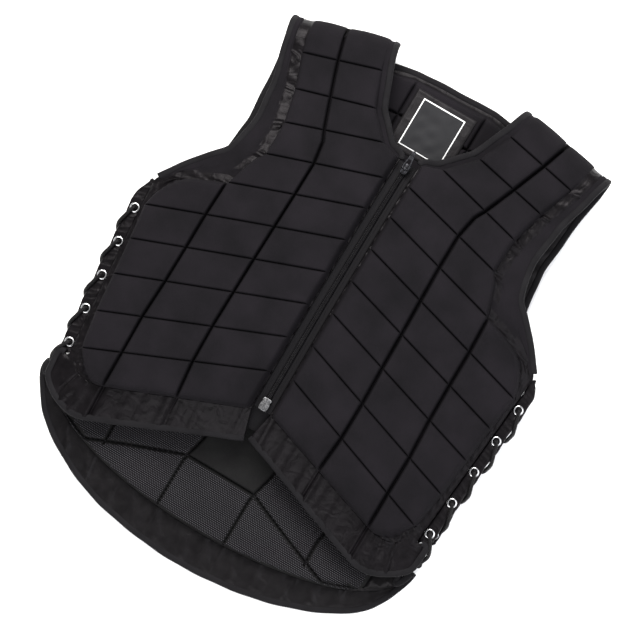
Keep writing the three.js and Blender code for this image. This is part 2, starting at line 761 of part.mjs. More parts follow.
// Bindings of the back: round the neck, up each armhole, and round the tail.
const backRight = back.lining[0].length - 1;
const backMiddle = (backRight - 1) / 2;
const neckLine = foldAngles.length - 1;
const tailLine = back.lines.length - 1;
const stripTopLine = back.lines.findIndex((line) => line.lift === 1);
const stripEndLine = back.lines.findIndex((line) => line.lift === 0.9);
const neckLeft = backMiddle - strapColumn;
const neckRight = backMiddle + 1 + strapColumn;
bindEdge('neck_binding_back', [
  ...down(neckLeft, 0, neckLine), ...across(neckLine, neckLeft + 1, neckRight - 1),
  ...down(neckRight, 0, neckLine).reverse(),
], back.under, back.lining, -1);
bindEdge('tail_binding', [
  ...down(0, stripEndLine, tailLine), ...across(tailLine, 1, backRight - 1),
  ...down(backRight, stripEndLine, tailLine).reverse(),
], back.under, back.lining, 1);

// The patch inside the back of the neck, with its plain label.
const patchY = backHeight(back.lines[neckLine + 2], 0) - clearance - patchLength / 2;
const labelY = patchY - labelDrop;
const patch = addMesh(
  'neck_patch', plate(-patchWidth / 2, patchWidth / 2, -patchLength / 2, patchLength / 2, patchThickness),
  materials.gatheredNylon);
patch.position.set(0, patchY, foamThickness + clearance);
const label = addMesh(
  'neck_label', plate(-labelWidth / 2, labelWidth / 2, -labelLength / 2, labelLength / 2, labelThickness),
  materials.label);
label.position.set(0, labelY, foamThickness + patchThickness + 2 * clearance);

for (const [side, hand] of sides) {
  const panel = frontPanel(side);
  const { lines, lining, outside } = panel;
  addMesh(`front_panel_${hand}`, panel.geometry, materials.blockCloth);

  const corner = lines.findIndex((line) => line.part === neckCornerRow);
  const armhole = lines.findIndex((line) => line.part === armholeRow);
  const end = lines.findIndex((line) => line.part === foamEndRow);
  const hem = lines.length - 1;
  const armPath = [...down(rimColumn, 0, armhole), ...across(armhole, rimColumn + 1, edgeColumn)];
  bindEdge(`neck_binding_front_${hand}`, down(0, 0, corner), lining, outside, side);
  bindEdge(`arm_binding_front_${hand}`, armPath, lining, outside, -side);
  bindEdge(`hem_binding_${hand}`, [...across(hem, 0, edgeColumn), [end, edgeColumn]], lining, outside, side);
  const backEdge = side < 0 ? 0 : backRight;
  bindEdge(`arm_binding_back_${hand}`, down(backEdge, 0, stripTopLine), back.under, back.lining, -side);

  const raise = slantAt(side, frontStrip.middle * halfWidth);
  const strips = [['front', frontStrip, frontStripZ], ['back', backStrip, backStripZ]];
  for (const [face, strip, z] of strips) {
    const cloth = addMesh(`lacing_strip_${face}_${hand}`, stripPlate(strip, side), materials.gatheredNylon);
    cloth.position.set(0, raise, z);
    for (const [k, y] of eyeletHeights.entries()) {
      const eyelet = addMesh(`eyelet_${face}_${hand}_${k + 1}`, eyeletRing(), materials.silver);
      const isFront = face === 'front';
      eyelet.position.set(side * stripMiddle(strip, y), y + raise, isFront ? z + stripThickness : z);
      eyelet.rotation.x = isFront ? 0 : Math.PI;
    }
  }

  const start = laceRoute(side)[0];
  const free = laceEnd(side);
  const lace = addMesh(`lace_${hand}`, laceTube([...laceRoute(side), ...free]), materials.lace);
  const along = free[3].clone().sub(free[2]).normalize();
  const seat = knotDiameter / 2 + clearance;
  const tied = addMesh(`lace_knot_${hand}`, knot(free[3].clone().addScaledVector(along, seat)), materials.lace);
  const below = start.clone().add(new THREE.Vector3(0, 0, -seat));
  const stop = addMesh(`lace_stop_${hand}`, knot(below), materials.lace);
  for (const piece of [lace, tied, stop]) piece.position.y = raise;

  const tape = side < 0 ? [-zipTapeWidth / 2, -clearance] : [clearance, zipTapeWidth / 2];
  const tapeLow = coverThickness - zipTapeThickness - clearance;
  addMesh(
    `zip_tape_${hand}`, zipRibbon(...tape, tapeLow, zipTapeThickness, zipTop, zipBottom), materials.gatheredNylon);
}

// The zip's coil runs down to the box at its lower end, over a guard behind both halves.
const coilLow = coverThickness + clearance;    // clear of the tapes on every slope
const boxTop = zipBottom + zipBoxLength;
const coil = [-zipCoilWidth / 2, zipCoilWidth / 2, coilLow, zipCoilThickness];
addMesh('zip_coil', zipRibbon(...coil, zipTop - clearance, boxTop + clearance), materials.coil);
const box = plate(-zipBoxWidth / 2, zipBoxWidth / 2, zipBottom, boxTop, zipBoxThickness);
addMesh('zip_box', box.translate(0, 0, zipLining(boxTop) + coverThickness), materials.silver);
const guard = [-zipGuardWidth / 2, zipGuardWidth / 2, -zipGuardThickness - zipGuardGap, zipGuardThickness];
addMesh('zip_guard', zipRibbon(...guard, zipTop, zipBottom - zipGuardDrop), materials.gatheredNylon);

// The slider sits at the top of the coil: a body with a lug that holds the pull's pin.
const sliderY = zipTop - zipSliderLength;
const sliderZ = zipLining(sliderY) + coilLow + zipCoilThickness + clearance + zipSliderRoom;
const pinHeight = zipSliderThickness + 2 * clearance + zipPinRadius;
const pinPlace = new THREE.Vector3(0, sliderY + zipSliderLength / 2, sliderZ + pinHeight);
const sliderBody = new THREE.ExtrudeGeometry(new THREE.Shape([
  new THREE.Vector2(-zipSliderWidth / 2, zipSliderLength), new THREE.Vector2(-zipSliderWidth / 3, 0),
  new THREE.Vector2(zipSliderWidth / 3, 0), new THREE.Vector2(zipSliderWidth / 2, zipSliderLength),
]), { depth: zipSliderThickness, bevelEnabled: false }).translate(0, sliderY, sliderZ);
const lugShape = new THREE.Shape();
const lugFoot = zipSliderThickness / 2;
lugShape.moveTo(-zipLugRadius, lugFoot);
lugShape.lineTo(zipLugRadius, lugFoot);
lugShape.lineTo(zipLugRadius, pinHeight);
lugShape.absarc(0, pinHeight, zipLugRadius, 0, Math.PI, false);
lugShape.lineTo(-zipLugRadius, lugFoot);
lugShape.holes.push(circlePath(zipPinRadius + clearance, 0, pinHeight, 12));
const lug = new THREE.ExtrudeGeometry(lugShape, { depth: zipLugWidth, bevelEnabled: false, curveSegments: 8 })
  .rotateX(Math.PI / 2).rotateZ(Math.PI / 2)
  .translate(-zipLugWidth / 2, sliderY + zipSliderLength / 2, sliderZ);
addMesh('zip_slider', joined(sliderBody, lug), materials.gunmetal);

// The pull: two legs astride the lug, meeting in a narrow tip, with a pin across the legs.
const legGap = zipLugWidth / 2 + clearance;
const pullShape = new THREE.Shape([
  new THREE.Vector2(-zipPullWidth / 2, -zipPinRadius), new THREE.Vector2(-legGap, -zipPinRadius),
  new THREE.Vector2(-legGap, zipPullSlot), new THREE.Vector2(legGap, zipPullSlot),
  new THREE.Vector2(legGap, -zipPinRadius), new THREE.Vector2(zipPullWidth / 2, -zipPinRadius),
  new THREE.Vector2(zipPullWidth / 5, zipPullLength), new THREE.Vector2(-zipPullWidth / 5, zipPullLength),
]);
const pullPlate = new THREE.ExtrudeGeometry(pullShape, { depth: zipPullThickness, bevelEnabled: false })
  .translate(0, 0, -zipPullThickness / 2);
const pin = new THREE.CylinderGeometry(zipPinRadius, zipPinRadius, 2 * legGap + zipPinRadius, 12)
  .rotateZ(Math.PI / 2);
const pull = addMesh('zip_pull', joined(pullPlate, pin), materials.gunmetal);
pull.position.copy(pinPlace);

// The origin lies under the middle of the vest's length.
const bounds = new THREE.Box3().setFromObject(vest, true);
vest.position.y = -(bounds.min.y + bounds.max.y) / 2;

export default vest;
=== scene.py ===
import bpy
import math
import numpy as np
from mathutils import Matrix, Vector


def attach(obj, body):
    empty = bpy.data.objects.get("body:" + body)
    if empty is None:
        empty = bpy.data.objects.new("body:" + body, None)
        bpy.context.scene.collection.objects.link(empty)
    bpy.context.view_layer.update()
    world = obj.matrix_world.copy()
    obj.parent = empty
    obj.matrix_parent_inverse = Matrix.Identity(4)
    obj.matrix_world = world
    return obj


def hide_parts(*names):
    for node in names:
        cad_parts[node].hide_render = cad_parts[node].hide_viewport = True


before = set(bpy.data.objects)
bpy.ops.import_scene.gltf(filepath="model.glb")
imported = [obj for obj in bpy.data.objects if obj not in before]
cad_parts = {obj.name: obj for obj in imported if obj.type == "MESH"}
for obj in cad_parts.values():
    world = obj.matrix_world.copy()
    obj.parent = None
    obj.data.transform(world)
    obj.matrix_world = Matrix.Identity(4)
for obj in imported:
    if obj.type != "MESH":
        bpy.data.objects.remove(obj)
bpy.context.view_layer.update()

# An equestrian body protector lying on its back. All shapes are worked out in millimetres, neck towards +Y.
vest = {
    "length": 650.0, "width": 506.0, "chestHeight": 101.0, "clearance": 0.3, "shiftY": -5.081,
    "foam": 22.0, "cover": 6.0, "foldInner": 5.0, "neckCover": 8.0, "zipCover": 1.7, "zipTape": 22.0, "hemGap": 3.0,
    "halfOffset": 2.0, "sideSlant": 0.042, "leftRaise": 4.0, "rightDrop": 1.5,
}
halfLength = vest["length"] / 2
halfWidth = vest["width"] / 2
foldRadius = vest["foldInner"] + vest["foam"]
foldLining = foldRadius + vest["clearance"] + vest["foldInner"]
chestLining = vest["chestHeight"] - vest["foam"]
zipEdge = vest["zipTape"] / 2 + vest["clearance"]
hands = ((-1, "left"), (1, "right"))
# Places at the top of the shoulder fold, in half widths, where the front meets the back.
shoulderTop = {"neck": 0.320, "split": 0.561, "arm": 0.711, "rim": 0.792, "foam": 0.711, "edge": 0.792}


# Helpers

def smooth(low, high, value):  # 0 below low, 1 above high, an even S between them
    t = np.clip((value - low) / (high - low), 0, 1)
    return t * t * (3 - 2 * t)


def shoulder(distance, radius):  # quarter of an ellipse: 0 at an edge, 1 from radius inwards
    t = np.clip(distance / radius, 0, 1)
    return np.sqrt(1 - (1 - t) ** 2)


def groove(gap, start, depth, radius):  # depth of a groove with rounded walls: whole up to start, then rising
    return depth * (1 - shoulder(np.maximum(0, gap - start), radius))


def unevenness(x, y, seed, shortest, longest):  # nine waves of drawn directions, lengths and phases, about -1 to 1
    draw = np.random.default_rng(seed)
    count = 9
    angle = draw.uniform(0, 2 * math.pi, count)
    number = 2 * math.pi / draw.uniform(shortest, longest, count)
    total = np.zeros(np.broadcast(x, y).shape)
    for kx, ky, phase in zip(np.cos(angle) * number, np.sin(angle) * number, draw.uniform(0, 2 * math.pi, count)):
        total += np.sin(kx * x + ky * y + phase)
    return total / math.sqrt(count) / 1.4


def puckers(along, out, seed, lengths=(7.0, 11.0, 17.0)):  # sharp crests across an edge, 0 to 1
    draw = np.random.default_rng(seed)
    total = np.zeros(np.broadcast(along, out).shape)
    for size in lengths:
        sway = 0.8 * np.sin(along / (size * 3.1) + draw.uniform(0, 6)) + draw.uniform(-0.35, 0.35) * out / 4
        crest = 1 - np.abs(np.sin(math.pi * along / size + sway + draw.uniform(0, 6)))
        total += crest ** 1.7 * (size / 17.0)
    return total / 1.4


def slantAt(side, x):  # each half lies a little above or below the middle, more so out at its side
    return side * (vest["halfOffset"] + vest["sideSlant"] * np.abs(x))


def toWorld(points):  # millimetres of the part to metres of the frame; the left shoulder lies a little further up
    moved = np.array(points, float).reshape(-1, 3) + (0, vest["shiftY"], 0)
    x, y = moved[:, 0], moved[:, 1]
    raised = vest["leftRaise"] * smooth(-50, -90, x) - vest["rightDrop"] * smooth(50, 90, x)
    moved[:, 1] += raised * smooth(0.72, 0.96, y / halfLength)
    return moved * 0.001


def placed(name, data):  # a new object in the scene
    made = bpy.data.objects.new(name, data)
    bpy.context.scene.collection.objects.link(made)
    return made


def addPiece(name, points, faces, materials, replaced, body="vest", faceMaterial=None, uv=None):
    # One mesh object of the used points, which rides on a body and takes the place of the solids that it replaces.
    used = np.unique(np.concatenate([np.ravel(f) for f in faces]))
    index = np.full(len(points), -1)
    index[used] = np.arange(len(used))
    mesh = bpy.data.meshes.new(name)
    polygons = [index[f].tolist() for group in faces for f in group]
    mesh.from_pydata(toWorld(points)[used].tolist(), [], polygons)
    for material in materials:
        mesh.materials.append(material)
    if faceMaterial is not None:
        values = np.zeros(len(mesh.polygons), np.int32)
        values[:len(faceMaterial)] = faceMaterial
        mesh.polygons.foreach_set("material_index", values)
    if uv is not None:
        corners = np.zeros(len(mesh.loops), np.int32)
        mesh.loops.foreach_get("vertex_index", corners)
        layer = mesh.uv_layers.new(name="cloth")
        layer.data.foreach_set("uv", (np.array(uv, float)[used][corners] * 0.001).astype(np.float32).ravel())
    mesh.polygons.foreach_set("use_smooth", np.ones(len(mesh.polygons), bool))
    mesh.update()
    piece = placed(name, mesh)
    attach(piece, body)
    if replaced:
        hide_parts(*replaced)
    return piece


def quads(rows, columns, closed=False):  # faces of a grid of points, row by row
    j, i = np.meshgrid(np.arange(rows - 1), np.arange(columns if closed else columns - 1), indexing="ij")
    nextI = (i + 1) % columns
    return np.stack([j * columns + i, (j + 1) * columns + i, (j + 1) * columns + nextI, j * columns + nextI],
                    -1).reshape(-1, 4)


def tubeFaces(rings, count):  # faces of a row of closed rings of points, with one face across each end
    first = np.arange(count)[None, :]
    return [quads(rings, count, closed=True), first, first[:, ::-1] + (rings - 1) * count]


def doubled(x, y):  # cloth coordinates of a closed grid, the same above and below
    uv = np.stack(np.broadcast_arrays(x, y), -1).reshape(-1, 2)
    return np.concatenate([uv, uv])


def wrapped(length, girth, count):  # cloth coordinates along and round a tube of the given girth
    around = np.linspace(0, girth, count, endpoint=False)
    return np.stack(np.meshgrid(length, around, indexing="ij"), -1).reshape(-1, 2)


def lengthsAlong(path):  # how far each point of a path is from its start
    return np.concatenate([[0], np.cumsum(np.linalg.norm(np.diff(path, axis=0), axis=1))])


def closedGrid(upper, lower, kept=None, mirrored=False):
    # Two grids of points, joined by a wall along every edge of the kept cells; j runs to -Y and i to +X.
    rows, columns = upper.shape[:2]
    kept = np.ones((rows - 1, columns - 1), bool) if kept is None else kept
    count = rows * columns
    cells = quads(rows, columns).reshape(rows - 1, columns - 1, 4)
    padded = np.pad(kept, 1)
    beyond = [padded[1:-1, :-2], padded[2:, 1:-1], padded[1:-1, 2:], padded[:-2, 1:-1]]
    faces = [cells[kept], cells[kept][:, ::-1] + count]
    for k, neighbour in enumerate(beyond):
        edge = cells[kept & ~neighbour]
        a, b = edge[:, k], edge[:, (k + 1) % 4]
        faces.append(np.stack([b, a, a + count, b + count], -1))
    if mirrored:
        faces = [f[:, ::-1] for f in faces]
    return np.concatenate([upper.reshape(-1, 3), lower.reshape(-1, 3)]), faces


def sweep(path, outward, upward, profile):  # a closed profile (out, up) carried along a path
    rings = path[:, None] + profile[None, :, :1] * outward[:, None] + profile[None, :, 1:] * upward[:, None]
    return rings.reshape(-1, 3), tubeFaces(len(path), profile.shape[0])


def outwards(points, faces):  # turns the faces round where the closed body has a negative volume
    volume = 0.0
    for group in faces:
        p = points[group]
        for k in range(1, group.shape[1] - 1):
            volume += np.einsum("ij,ij->i", p[:, 0], np.cross(p[:, k], p[:, k + 1])).sum()
    return [f[:, ::-1] for f in faces] if volume < 0 else faces


def signedPower(value, exponent):
    return np.sign(value) * np.abs(value) ** exponent


def roundProfile(halfOut, halfUp, power, count):  # a superellipse in (out, up)
    angle = np.arange(count) * 2 * math.pi / count
    return np.stack([halfOut * signedPower(np.cos(angle), 2 / power),
                     halfUp * signedPower(np.sin(angle), 2 / power)], -1)


def resampled(points, step, smoothing=0):  # evenly spaced points along a line of points, with rounded corners
    points = np.array(points, float)
    places = lengthsAlong(points[:, :3])
    count = max(4, int(round(places[-1] / step)) + 1)
    wanted = np.linspace(0, places[-1], count)
    line = np.stack([np.interp(wanted, places, points[:, k]) for k in range(points.shape[1])], -1)
    for _ in range(smoothing):
        line[1:-1] = (line[:-2] + 2 * line[1:-1] + line[2:]) / 4
    return line


def unit(vectors):
    return vectors / np.maximum(np.linalg.norm(vectors, axis=-1, keepdims=True), 1e-9)


def crowded(length, tightStart, tightEnd, step):  # places along a length, close together near a seam
    near = np.array([0.0, 0.35, 0.8, 1.4, 2.2, 3.2, 4.5, 6.0])
    start = near if tightStart else np.array([0.0])
    end = near if tightEnd else np.array([0.0])
    room = length - start[-1] - end[-1]
    if room <= 0.5:
        count = 12 if tightStart or tightEnd else 4
        return np.linspace(0, 1, count, endpoint=False)
    middle = np.linspace(start[-1], length - end[-1], max(2, int(math.ceil(room / step)) + 1))
    places = np.concatenate([start, middle[1:-1], length - end[::-1]])
    return np.unique(np.round(places, 4))[:-1] / length


# Colours and materials

def linear(code):  # "#rrggbb" in sRGB to linear red, green, blue
    parts = [int(code[k:k + 2], 16) / 255 for k in (1, 3, 5)]
    return [p / 12.92 if p <= 0.04045 else ((p + 0.055) / 1.055) ** 2.4 for p in parts] + [1.0]


def plug(socket, value):  # another node's output is linked to the socket, anything else becomes its value
    if isinstance(value, bpy.types.NodeSocket):
        socket.id_data.links.new(value, socket)
    else:
        socket.default_value = value


def node(tree, kind, settings=None, **inputs):  # inputs go by name, or by number as in i0
    made = tree.nodes.new(kind)
    for key, value in (settings or {}).items():
        setattr(made, key, value)
    for key, value in inputs.items():
        numbered = key[0] == "i" and key[1:].isdigit()
        plug(made.inputs[int(key[1:])] if numbered else made.inputs[key.replace("_", " ")], value)
    return made


def maths(tree, kind, *values):
    inputs = {f"i{k}": value for k, value in enumerate(values)}
    return node(tree, "ShaderNodeMath", {"operation": kind}, **inputs).outputs[0]


def newMaterial(name):
    material = bpy.data.materials.new(name)
    material.use_nodes = True
    tree = material.node_tree
    tree.nodes.clear()
    shader = node(tree, "ShaderNodeBsdfPrincipled")
    node(tree, "ShaderNodeOutputMaterial", Surface=shader.outputs[0])
    return material, tree, shader


def shades(tree, factor, low, dark, high, light):  # the dark colour up to low, the light one from high on
    made = node(tree, "ShaderNodeValToRGB", None, Fac=factor)
    for element, place, colour in zip(made.color_ramp.elements, (low, high), (dark, light)):
        element.position = place
        element.color = linear(colour)
    return made.outputs[0]


def spread(tree, value, low, high):  # a value from 0 to 1, moved to between low and high
    return node(tree, "ShaderNodeMapRange", None, Value=value, To_Min=low, To_Max=high).outputs[0]


def mixColour(tree, factor, first, second):
    return node(tree, "ShaderNodeMix", {"data_type": "RGBA"}, i0=factor, i6=first, i7=second).outputs[2]


def mapped(tree, size, turn=0.0, uv=True):  # coordinates that grow by one in every size metres
    if uv:
        source = node(tree, "ShaderNodeUVMap", {"uv_map": "cloth"}).outputs[0]
    else:
        source = node(tree, "ShaderNodeTexCoord").outputs["Object"]
    return node(tree, "ShaderNodeMapping", None, Vector=source, Rotation=(0, 0, turn), Scale=(1 / size,) * 3).outputs[0]


def wave(tree, size, turn=0.0, direction="X"):  # smooth bands, one to every size metres
    return node(tree, "ShaderNodeTexWave", {"bands_direction": direction}, Vector=mapped(tree, size, turn),
                Scale=math.pi / 10).outputs["Fac"]


def weave(tree, thread):  # height of a plain weave with the given thread spacing in metres
    return maths(tree, "MULTIPLY", wave(tree, thread), wave(tree, thread, direction="Y"))


def noise(tree, size, detail, roughness=0.5, distortion=0.0):  # cloudy noise whose cells are about size metres
    return node(tree, "ShaderNodeTexNoise", None, Vector=mapped(tree, size, uv=False), Scale=1.0, Detail=detail,
                Roughness=roughness, Distortion=distortion).outputs["Fac"]


def bumped(tree, shader, height, distance, strength, under=None):
    made = node(tree, "ShaderNodeBump", None, Height=height, Distance=distance, Strength=strength)
    if under is not None:
        plug(made.inputs["Normal"], under)
    plug(shader.inputs["Normal"], made.outputs[0])
    return made.outputs[0]


def setShader(shader, **values):
    for key, value in values.items():
        plug(shader.inputs[key.replace("_", " ")], value)


# Brushed microfibre over foam: woven polyester, dull from every side, with a slow mottle.
def brushedPolyester(name="brushed_woven_polyester", dark="#100f11", light="#171518"):
    looks = {"thread": 0.0011, "fibre": 0.0016, "mottle": 0.045, "dent": 0.009}
    material, tree, shader = newMaterial(name)
    fine = noise(tree, looks["fibre"], 2.0)
    both = maths(tree, "MULTIPLY_ADD", fine, 0.35, noise(tree, looks["mottle"], 4.0))
    setShader(shader, Base_Color=shades(tree, both, 0.45, dark, 0.85, light), Roughness=spread(tree, fine, 0.8, 0.95),
              Specular_IOR_Level=0.045)
    soft = bumped(tree, shader, noise(tree, looks["dent"], 3.0), 0.0005, 0.5)
    bumped(tree, shader, weave(tree, looks["thread"]), 0.00018, 0.55, soft)
    return material


# Nylon taffeta, calendered: thin and smooth, so its gathers catch bright streaks of light.
def gatheredTaffeta(name="calendered_nylon_taffeta", crease=0.0016, dark="#060506", light="#0f0d0f"):
    looks = {"thread": 0.0008, "gleam": "#f6f1f6", "fold": 0.015, "patch": 0.012}
    material, tree, shader = newMaterial(name)
    patch = noise(tree, looks["patch"], 4.0)
    setShader(shader, Base_Color=shades(tree, patch, 0.3, dark, 0.8, light), Roughness=spread(tree, patch, 0.28, 0.44),
              Specular_IOR_Level=0.085, Specular_Tint=linear(looks["gleam"]))
    soft = bumped(tree, shader, noise(tree, looks["fold"], 2.0, 0.35, 1.2), crease, 0.8)
    bumped(tree, shader, weave(tree, looks["thread"]), 0.0001, 0.4, soft)
    return material


# Grosgrain tape: fine ribs across its length, which dull its edge.
def grosgrainTape():
    looks = {"dark": "#0d0c0e", "light": "#171618", "rib": 0.0013, "cloud": 0.02, "dent": 0.012}
    material, tree, shader = newMaterial("woven_grosgrain_tape")
    ribs = wave(tree, looks["rib"])
    both = maths(tree, "MULTIPLY_ADD", ribs, 0.3, noise(tree, looks["cloud"], 3.0))
    setShader(shader, Base_Color=shades(tree, both, 0.35, looks["dark"], 0.95, looks["light"]), Roughness=0.7,
              Specular_IOR_Level=0.08)
    soft = bumped(tree, shader, noise(tree, looks["dent"], 2.0), 0.0006, 0.5)
    bumped(tree, shader, ribs, 0.00022, 0.7, soft)
    return material


# Knitted spacer mesh over dark cloth: rows of pale open cells, each a light dot at this distance.
def spacerMesh():
    looks = {"ground": "#0b0a0c", "thread": "#49484b", "pitch": 0.0023, "full": 0.02, "none": 0.11, "wear": 0.03,
             "dent": 0.012}
    material, tree, shader = newMaterial("knitted_spacer_mesh")
    split = node(tree, "ShaderNodeSeparateXYZ", None, Vector=mapped(tree, looks["pitch"]))
    half = maths(tree, "MULTIPLY_ADD", maths(tree, "FLOOR", split.outputs[1]), 0.5, split.outputs[0])
    squares = []
    for value in (half, split.outputs[1]):
        away = maths(tree, "SUBTRACT", maths(tree, "FRACT", value), 0.5)
        squares.append(maths(tree, "MULTIPLY", away, away))
    dot = node(tree, "ShaderNodeMapRange", {"interpolation_type": "SMOOTHSTEP"}, Value=maths(tree, "ADD", *squares),
               From_Min=looks["full"], From_Max=looks["none"], To_Min=1.0, To_Max=0.0).outputs[0]
    amount = maths(tree, "MULTIPLY", dot, spread(tree, noise(tree, looks["wear"], 3.0), 0.5, 1.0))
    colour = mixColour(tree, amount, linear(looks["ground"]), linear(looks["thread"]))
    setShader(shader, Base_Color=colour, Roughness=0.8, Specular_IOR_Level=0.05)
    soft = bumped(tree, shader, noise(tree, looks["dent"], 2.0), 0.0006, 0.5)
    bumped(tree, shader, dot, 0.0004, 0.7, soft)
    return material


# Two sets of threads that cross at a slant. Braided polyester cord: raised strands round the cord, a little gloss.
# Zip tape: polyester woven in a fine herringbone, flat and dull.
crossedLooks = {
    "braided_polyester_cord": {"dark": "#0a090a", "light": "#19181a", "thread": 0.0022, "turn": 0.9, "low": 0.1,
                               "high": 0.8, "join": "MULTIPLY", "rough": 0.6, "gloss": 0.12, "depth": 0.0005,
                               "strength": 0.8},
    "herringbone_zip_tape": {"dark": "#09080a", "light": "#141315", "thread": 0.001, "turn": 0.8, "low": 0.2,
                             "high": 0.9, "join": "MAXIMUM", "rough": 0.72, "gloss": 0.08, "depth": 0.0002,
                             "strength": 0.7},
}


def crossedThreads(name):
    looks = crossedLooks[name]
    material, tree, shader = newMaterial(name)
    both = maths(tree, looks["join"], *[wave(tree, looks["thread"], turn) for turn in (looks["turn"], -looks["turn"])])
    setShader(shader, Base_Color=shades(tree, both, looks["low"], looks["dark"], looks["high"], looks["light"]),
              Roughness=looks["rough"], Specular_IOR_Level=looks["gloss"])
    bumped(tree, shader, both, looks["depth"], looks["strength"])
    return material


# Woven satin label: plain grey, with a pale woven frame near its edge and nothing inside it.
def satinLabel(width, length):
    looks = {"dark": "#202022", "light": "#232325", "rim": "#1b1b1d", "frame": "#f2f2f2", "inset": 0.0009,
             "line": 0.0013, "thread": 0.0009, "cloud": 0.01, "dent": 0.014}
    material, tree, shader = newMaterial("woven_satin_label")
    split = node(tree, "ShaderNodeSeparateXYZ", None, Vector=mapped(tree, 1.0))
    gaps = [maths(tree, "SUBTRACT", size / 2, maths(tree, "ABSOLUTE", split.outputs[k]))
            for k, size in enumerate((width, length))]
    beside = maths(tree, "SUBTRACT", maths(tree, "MINIMUM", *gaps), looks["inset"])
    line = maths(tree, "LESS_THAN", maths(tree, "ABSOLUTE", beside), looks["line"] / 2)
    cloud = shades(tree, noise(tree, looks["cloud"], 3.0), 0.3, looks["dark"], 0.8, looks["light"])
    ground = mixColour(tree, maths(tree, "LESS_THAN", beside, 0.0), cloud, linear(looks["rim"]))
    setShader(shader, Base_Color=mixColour(tree, line, ground, linear(looks["frame"])), Roughness=0.5,
              Specular_IOR_Level=0.08)
    soft = bumped(tree, shader, noise(tree, looks["dent"], 2.0), 0.0004, 0.3)
    bumped(tree, shader, weave(tree, looks["thread"]), 0.00012, 0.5, soft)
    return material


# Metals: bright nickel plate on pressed brass, the same plate dark and mottled lighter in its colour, and dark plated
# zinc that was tumbled smooth.
def platedMetal(name, dark, light, low, high, spot=0.004):
    looks = {"scratch": 0.0012, "grain": 0.0008}
    material, tree, shader = newMaterial(name)
    setShader(shader, Base_Color=shades(tree, noise(tree, spot, 4.0), 0.3, dark, 0.75, light), Metallic=1.0,
              Roughness=spread(tree, noise(tree, looks["scratch"], 3.0), low, high))
    bumped(tree, shader, noise(tree, looks["grain"], 2.0), 0.00004, 0.5)
    return material


# Extruded nylon zip teeth: smooth black plastic with a soft gloss.
def nylonTeeth():
    looks = {"dark": "#070608", "light": "#0e0d0f", "cloud": 0.01, "smear": 0.002, "grain": 0.0007}
    material, tree, shader = newMaterial("extruded_nylon_coil")
    colour = shades(tree, noise(tree, looks["cloud"], 2.0), 0.3, looks["dark"], 0.8, looks["light"])
    setShader(shader, Base_Color=colour, Roughness=spread(tree, noise(tree, looks["smear"], 2.0), 0.32, 0.5), IOR=1.5,
              Specular_IOR_Level=0.06)
    bumped(tree, shader, noise(tree, looks["grain"], 2.0), 0.00005, 0.4)
    return material


labelSize = {"width": 55.0, "length": 60.0}
cloths = {
    "block": brushedPolyester(),
    # The plain lining cloth also serves as painted shade: a darker strip in the middle of the back's mesh, for the
    # front hem's shadow.
    "lining": brushedPolyester("plain_polyester_lining_and_painted_shade", "#111011", "#1a1a1a"),
    "taffeta": gatheredTaffeta(),
    "flat": gatheredTaffeta("pressed_nylon_taffeta", 0.0007, "#131213", "#1d1c1d"),
    "hem": gatheredTaffeta("matt_nylon_taffeta", 0.0012, "#0b0a0b", "#131213"),
    "tape": grosgrainTape(),
    "mesh": spacerMesh(),
    "cord": crossedThreads("braided_polyester_cord"),
    "zipTape": crossedThreads("herringbone_zip_tape"),
    "label": satinLabel(labelSize["width"] / 1000, labelSize["length"] / 1000),
    "silver": platedMetal("nickel_plated_brass", "#a4a4a6", "#d6d6d8", 0.16, 0.3),
    # The zip box's plate: dark, with lighter mottles in its colour.
    "boxMetal": platedMetal("mottled_dark_nickel_plate", "#0c0c0e", "#8c8c8e", 0.25, 0.55, 0.0014),
    "gunmetal": platedMetal("dark_plated_zinc", "#1c1c1e", "#38383b", 0.28, 0.42),
    "coil": nylonTeeth(),
}
print("materials ready:", len(cloths))


# Camera, light and floor

camera = {"lens": 114.5, "distance": 2300.0, "turn": 30.7, "tiltX": 5.0, "tiltY": 0.0, "aim": (2.4, -3.6, 50.0)}


def addCamera():
    aim = Vector(camera["aim"]) * 0.001
    away = Vector((math.tan(math.radians(camera["tiltX"])), math.tan(math.radians(camera["tiltY"])), 1)).normalized()
    turn = math.radians(camera["turn"])
    right = Vector((math.cos(turn), math.sin(turn), 0))
    up = away.cross(right).normalized()
    right = up.cross(away).normalized()
    data = bpy.data.cameras.new("camera")
    data.lens = camera["lens"]
    data.sensor_width = 36.0
    data.clip_end = 20.0
    place = aim + away * camera["distance"] * 0.001
    made = placed("camera", data)
    made.matrix_world = Matrix((
        (right.x, up.x, away.x, place.x), (right.y, up.y, away.y, place.y), (right.z, up.z, away.z, place.z),
        (0, 0, 0, 1)))
    bpy.context.scene.camera = made


addCamera()

lamps = {
    "key": {"place": (-0.9, 1.5, 2.2), "size": 1.6, "power": 150.0, "colour": "#fffdfa"},
    "fill": {"place": (1.7, 0.4, 1.9), "size": 2.0, "power": 46.0, "colour": "#f8faff"},
    "low": {"place": (0.2, -1.9, 1.3), "size": 1.6, "power": 34.0, "colour": "#ffffff"},
}
studio = {"glow": 0.68, "lampAim": (0, 0, 0.05), "floorSize": 12.0, "floorCloud": 0.4}


def addLamps():
    for name, lamp in lamps.items():
        data = bpy.data.lights.new(name, "AREA")
        data.shape = "SQUARE"
        data.size = lamp["size"]
        data.energy = lamp["power"]
        data.color = linear(lamp["colour"])[:3]
        made = placed(name, data)
        made.location = lamp["place"]
        made.rotation_euler = (Vector(studio["lampAim"]) - Vector(lamp["place"])).to_track_quat("-Z", "Y").to_euler()
    world = bpy.data.worlds.new("studio")
    world.use_nodes = True
    world.node_tree.nodes["Background"].inputs[0].default_value = (1.0, 1.0, 1.0, 1.0)
    world.node_tree.nodes["Background"].inputs[1].default_value = studio["glow"]
    bpy.context.scene.world = world
    bpy.context.scene.view_settings.view_transform = "Standard"


